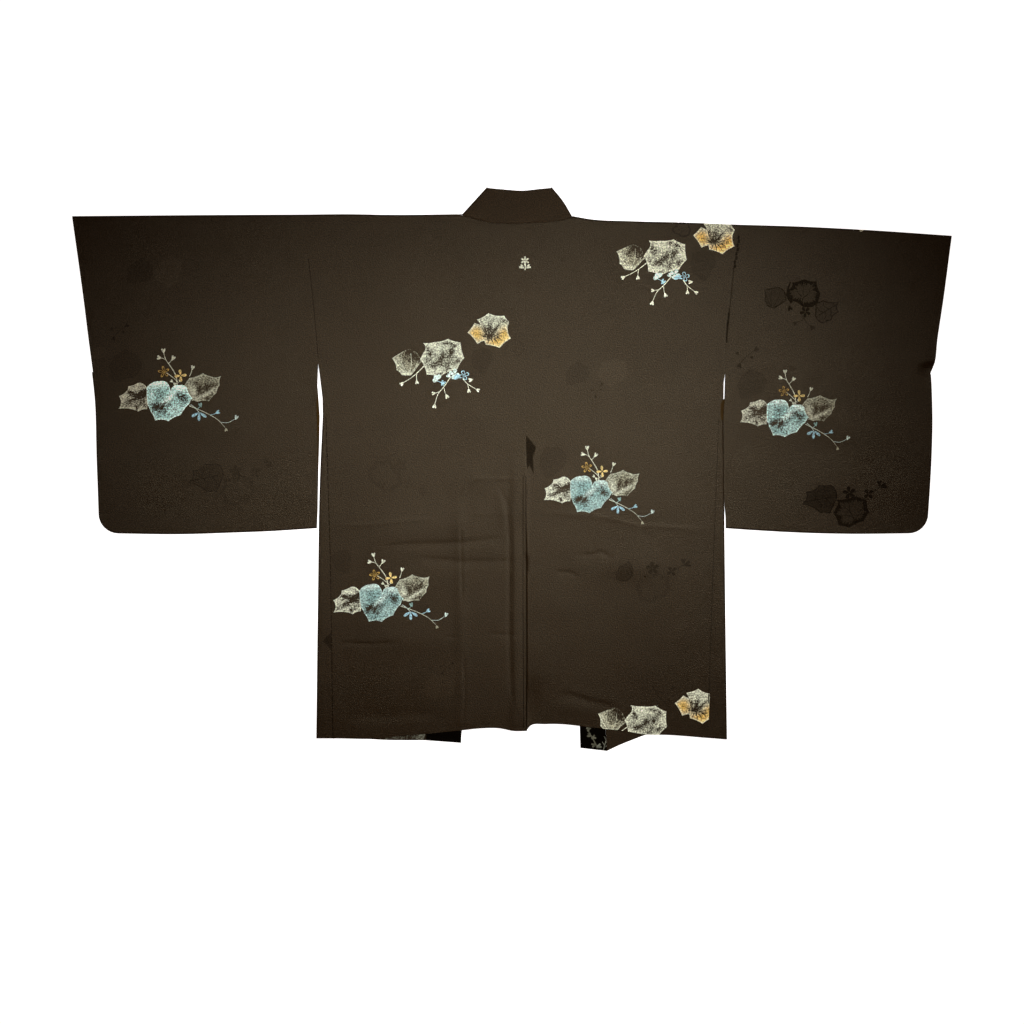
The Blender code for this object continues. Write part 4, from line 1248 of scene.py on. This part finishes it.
def plain_silk(name, colour, roughness, gloss, shine):
    """Smooth silk of one colour, with a fine rib."""
    recipe = Recipe(name)
    place = recipe.node("UVMap", uv_map="cloth").outputs[0]
    clouds = recipe.ramp(recipe.noise(place, LINING_CLOUD_SCALE, 2), 0, 1, *LINING_CLOUDS)
    threads = recipe.noise(place, RIB_SCALE, 1)
    tint = recipe.node("RGB")
    tint.outputs[0].default_value = colour
    dull = recipe.ramp(threads, 0, 1, roughness - RIB_DULLNESS, roughness + RIB_DULLNESS)
    recipe.bump(threads, RIB_DEPTH)
    return recipe.finish(Base_Color=recipe.scaled(tint.outputs[0], clouds), Roughness=dull,
                         Specular_IOR_Level=gloss, Specular_Tint=shine)


def floor_white():
    recipe = Recipe("floor_white")
    return recipe.finish(Base_Color=PAPER_WHITE, Roughness=0.9, Specular_IOR_Level=0.0,
                         Emission_Color=(1, 1, 1, 1), Emission_Strength=1.0)


# ---------------------------------------------------------------- where the sprays lie

LEFT_BACK_SPRAYS = (
    (woven_pair(FAINT, SILK, FAINT, SILK, FAINT), Place(-191, -10, -62)),
    (WOVEN_LEAF, Place(-46, 163, 60, 0.8)), (FAINT_LEAF, Place(2, 181)),
    (WOVEN_TWIGS, Place(-130, -310, 20, 0.6)), (PALE_LEAF, Place(-108, -327, -20)),
    (WOVEN_BUDS, Place(-99, -298, 0, 0.6)), (WOVEN_LEAF, Place(-255, -139, 80, 0.75)),
    (BLUE_SPRAY, Place(-196.7, -200.2, 1, 1.0, 0.98, 0.82, 0.9)),
    (BROAD_SPRAY, Place(-104.7, 167.2, 0, 1.0, 1.0, 1.04)), (POSY, Place(19.5, 310)),
    (WOVEN_TRIO, Place(-180, 715, 0)), (BROAD_SPRAY, Place(-215, 560, 0)),
    (BLUE_SPRAY, Place(-185, 860, 0)), (BROAD_SPRAY, Place(-163, 1160, 4, 1.0, 0.7, 0.28)),
    # painted shadows along the left armhole, the centre seam and the left gusset's seam
    (painted_seam_shadow(((-305.1, 316), (-298.8, 262), (-293.2, 200), (-290.4, 168)), 1.3, DARK), Place(0, 0)),
    (painted_seam_shadow([(16.6, -10), (16.4, -200), (17.6, -388)], 1.2, BLACK), Place(0, 0)),
    (painted_seam_shadow([(20.7, -10), (21.2, -200), (21.6, -388)], 1.2, BLACK), Place(0, 0)),
    (painted_seam_shadow(moved(LEFT_GUSSET.back_seam, x=0.8), 1.4, BLACK, 9, 2), Place(0, 0)),
)
# A painted shadow: a dark wedge that carries the crease across the left back on over the gusset.
LEFT_GUSSET_PAINTED_SHADE = (((Stroke(((-271.5, -257), (-277, -257), (-283, -258)), 25, 1, DARK),), Place(0, 0)),)
RIGHT_BACK_SPRAYS = (
    (WOVEN_LEAF, Place(96, 143, 10, 0.8)), (PALE_LEAF, Place(151, 145)),
    (WOVEN_BUDS, Place(128, 118, 20, 0.6)), (WOVEN_LEAF, Place(59, 11, 40)),
    (SEAM_SHADOW, Place(28.5, 26)), (WOVEN_LEAF, Place(285, 306, 60, 0.95)),
    (WOVEN_RING, Place(254, 360)), (woven_pair(FAINT, SILK, FAINT, SILK, DARK), Place(211, -177, -5)),
    (WOVEN_SWIRL, Place(170, -155)), (WOVEN_TWIGS, Place(224, -340, 0)),
    (WOVEN_LEAF, Place(290, -380, 70, 0.5)), (BLUE_SPRAY, Place(117, -38.2, -4, 0.97, 1.1, 0.76, 0.8)),
    (BROAD_SPRAY, Place(229.8, 318.2, -7, 0.98, 1.1, 1.5)),
    (BROAD_SPRAY, Place(200.7, -379.5, -11, 0.97, 1.15, 1.25)), (POSY, Place(19.5, 310)),
    (WOVEN_TRIO, Place(210, 790, 0)), (BLUE_SPRAY, Place(200, 640, 0)), (BROAD_SPRAY, Place(215, 930, 0)),
    (BLUE_SPRAY, Place(220, 1080, 0)),
    # a painted shadow along the right gusset's seam
    (painted_seam_shadow([(309.8, 74), (302.6, -113), (294.5, -350)], 1.4, DARK), Place(0, 0)),
)
LEFT_SLEEVE_SPRAYS = (
    (WOVEN_LEAF, Place(-559.5, 296, 4, 0.9)), (PALE_LEAF, Place(-514, 296, 40)),
    (WOVEN_LEAF, Place(-582, 154, 15, 1.1)), (PALE_LEAF, Place(-619, 175, 0, 0.5)),
    (WOVEN_BUDS, Place(-590, 206, 0, 0.8)),
    (woven_pair(DARK, FAINT, FAINT, SILK, DULL), Place(-411, -32)),
    (BLUE_SPRAY, Place(-514.7, 101.7, -2, 1.05, 0.95, 0.84, 1.8)), (WOVEN_TRIO, Place(-500, 690, 0)),
    (BROAD_SPRAY, Place(-470, 560, 0)), (BLUE_SPRAY, Place(-430, 770, 0)),
)
RIGHT_SLEEVE_SPRAYS = (
    (WOVEN_TRIO, Place(436.3, 264.9)), (WOVEN_LEAF, Place(357, 127, 20)), (WOVEN_BUDS, Place(350, 168)),
    (woven_pair(BLACK, DARK, BLACK, DULL, BLACK), Place(508.5, -63.8)), (CREAM_BUD, Place(524, 358.4)),
    (BLUE_SPRAY, Place(411, 75.7, -6, 0.97, 0.95, 0.74, 1.25)), (WOVEN_TRIO, Place(420, 680, 0)),
    (BROAD_SPRAY, Place(505, 580, 0)), (BLUE_SPRAY, Place(470, 760, 0)),
    # painted shadows along the right armhole
    (painted_seam_shadow(((332.9, 302), (337, 324), (340.4, 350)), 3.4, BLACK, 5.4, 0.9, 0.7), Place(0, 0)),
    (painted_seam_shadow(((323.6, 220), (328.2, 256), (332.4, 302)), 1.8, DARK), Place(0, 0)),
    (painted_seam_shadow(((321.2, 190), (322.2, 206), (325.4, 235)), 2.8, BLACK), Place(0, 0)),
)
COLLAR_SPRAYS = ((LONE_TWIG, Place(124, -405, 0, 1.0, 1.0, 0.3)),)


def laid_out(sprays):
    return [shape for design, place in sprays for shape in prints_of(design, place)]


# ---------------------------------------------------------------- the scene

FLOOR = "floor"
FLOOR_REACH, FLOOR_DROP = 30, 0.0003  # metres, as are all the sizes from here on
CAMERA_HEIGHT, CAMERA_Y = 3.627, -0.06375
LENS, SENSOR = 85, 36
SOFTBOX_SIZE = 0.45
WARM_AIR, AIR_STRENGTH = (1, 0.5, 0.2, 1), 0.16


def floor_sheet():
    bm = bmesh.new()
    bmesh.ops.create_grid(bm, x_segments=2, y_segments=2, size=FLOOR_REACH)
    bmesh.ops.translate(bm, verts=bm.verts[:], vec=(0, 0, -FLOOR_DROP))
    mesh = bpy.data.meshes.new(FLOOR)
    bm.to_mesh(mesh)
    bm.free()
    mesh.materials.append(floor_white())
    floor = bpy.data.objects.new(FLOOR, mesh)
    bpy.context.scene.collection.objects.link(floor)


def soft_light(name, place, aim, spread, watts):
    """A softbox with a grid, which lights the floor round its aim most."""
    light = bpy.data.lights.new(name, "AREA")
    light.shape = "DISK"
    light.size = SOFTBOX_SIZE
    light.spread = spread
    light.energy = watts
    lamp = bpy.data.objects.new(name, light)
    lamp.location = place
    lamp.rotation_euler = (Vector(aim) - Vector(place)).to_track_quat("-Z", "Y").to_euler()
    lamp.visible_camera = False
    bpy.context.scene.collection.objects.link(lamp)


def studio():
    scene = bpy.context.scene
    scene.view_settings.view_transform = "Standard"
    world = bpy.data.worlds.new("pale room")
    world.use_nodes = True
    air = world.node_tree.nodes["Background"]
    air.inputs["Color"].default_value = WARM_AIR
    air.inputs["Strength"].default_value = AIR_STRENGTH
    scene.world = world
    soft_light("right softbox", (0.595, 0.635, 2.6), (0.04, -0.06, 0), 0.5, 2.2)
    soft_light("left softbox", (-0.827, 0.326, 2.6), (-0.31, 0.05, 0), 0.39, 0.4)
    lens = bpy.data.cameras.new("camera")
    lens.lens = LENS
    lens.sensor_width = SENSOR
    camera = bpy.data.objects.new("camera", lens)
    camera.location = (0, CAMERA_Y, CAMERA_HEIGHT)
    scene.collection.objects.link(camera)
    scene.camera = camera


def main():
    studio()
    floor_sheet()
    crepe = printed_silk("crepe_silk", GROUND, 0.372, 0.20)
    facing = printed_silk("facing_silk", GROUND, 0.415, 0.20)
    lining = plain_silk("brown_lining", LINING, 0.45, 0.06, LINING_SHINE)
    band = printed_silk("neckband_silk", BAND_GROUND, 0.395, 0.14)
    # the neckband's lower layer, in painted shade
    lower_band_painted_shade = printed_silk("lower_neckband_painted_shade_silk", PAINTED_SHADE_BAND, 0.435, 0.012)
    faint = printed_silk("faint_figure_silk", GROUND, 0.372, 0.165, 0.88)
    dull = printed_silk("dull_figure_silk", GROUND, 0.375, 0.145, 0.8)
    # the dark and black silks serve both as woven figures and as painted shade
    dark = printed_silk("dark_figure_and_painted_shade_silk", GROUND, 0.385, 0.10, 0.6)
    black = printed_silk("black_figure_and_painted_shade_silk", GROUND, 0.395, 0.05, 0.45)
    pale = printed_silk("pale_figure_silk", GROUND, 0.372, 0.23, 1.1)
    figures = [faint, lining, dull, lining, dark, lining, black, lining, pale, lining]
    cloth = [crepe, lining, crepe, facing, *figures]
    sleeve_cloth = [crepe, lining, crepe, lining, *figures]
    band_cloth = [band, band, lower_band_painted_shade, lower_band_painted_shade]
    left = (LEFT_BODY, LEFT_GUSSET, LEFT_SLEEVE, NECK_LEFT)
    right = (RIGHT_BODY, RIGHT_GUSSET, RIGHT_SLEEVE, NECK_RIGHT)
    pieces = (
        (neckband("neckband", laid_out(COLLAR_SPRAYS), band_cloth), "collar", "collar_silk"),
        (body("left_body", *left, -1, laid_out(LEFT_BACK_SPRAYS), cloth), "body_left", "panel_silk"),
        (body("right_body", *right, 1, laid_out(RIGHT_BACK_SPRAYS), cloth), "body_right", "panel_silk"),
        (sleeve("left_sleeve", LEFT_SLEEVE, -1, laid_out(LEFT_SLEEVE_SPRAYS), sleeve_cloth),
         "sleeve_left", "panel_silk"),
        (sleeve("right_sleeve", RIGHT_SLEEVE, 1, laid_out(RIGHT_SLEEVE_SPRAYS), sleeve_cloth),
         "sleeve_right", "panel_silk"),
        (gusset("left_gusset", LEFT_GUSSET, -1, laid_out(LEFT_GUSSET_PAINTED_SHADE), cloth),
         "gusset_left", "panel_silk"),
        (gusset("right_gusset", RIGHT_GUSSET, 1, (), cloth), "gusset_right", "panel_silk"),
    )
    for piece, node, slot in pieces:
        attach(piece, "root")
        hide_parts(node)


main()
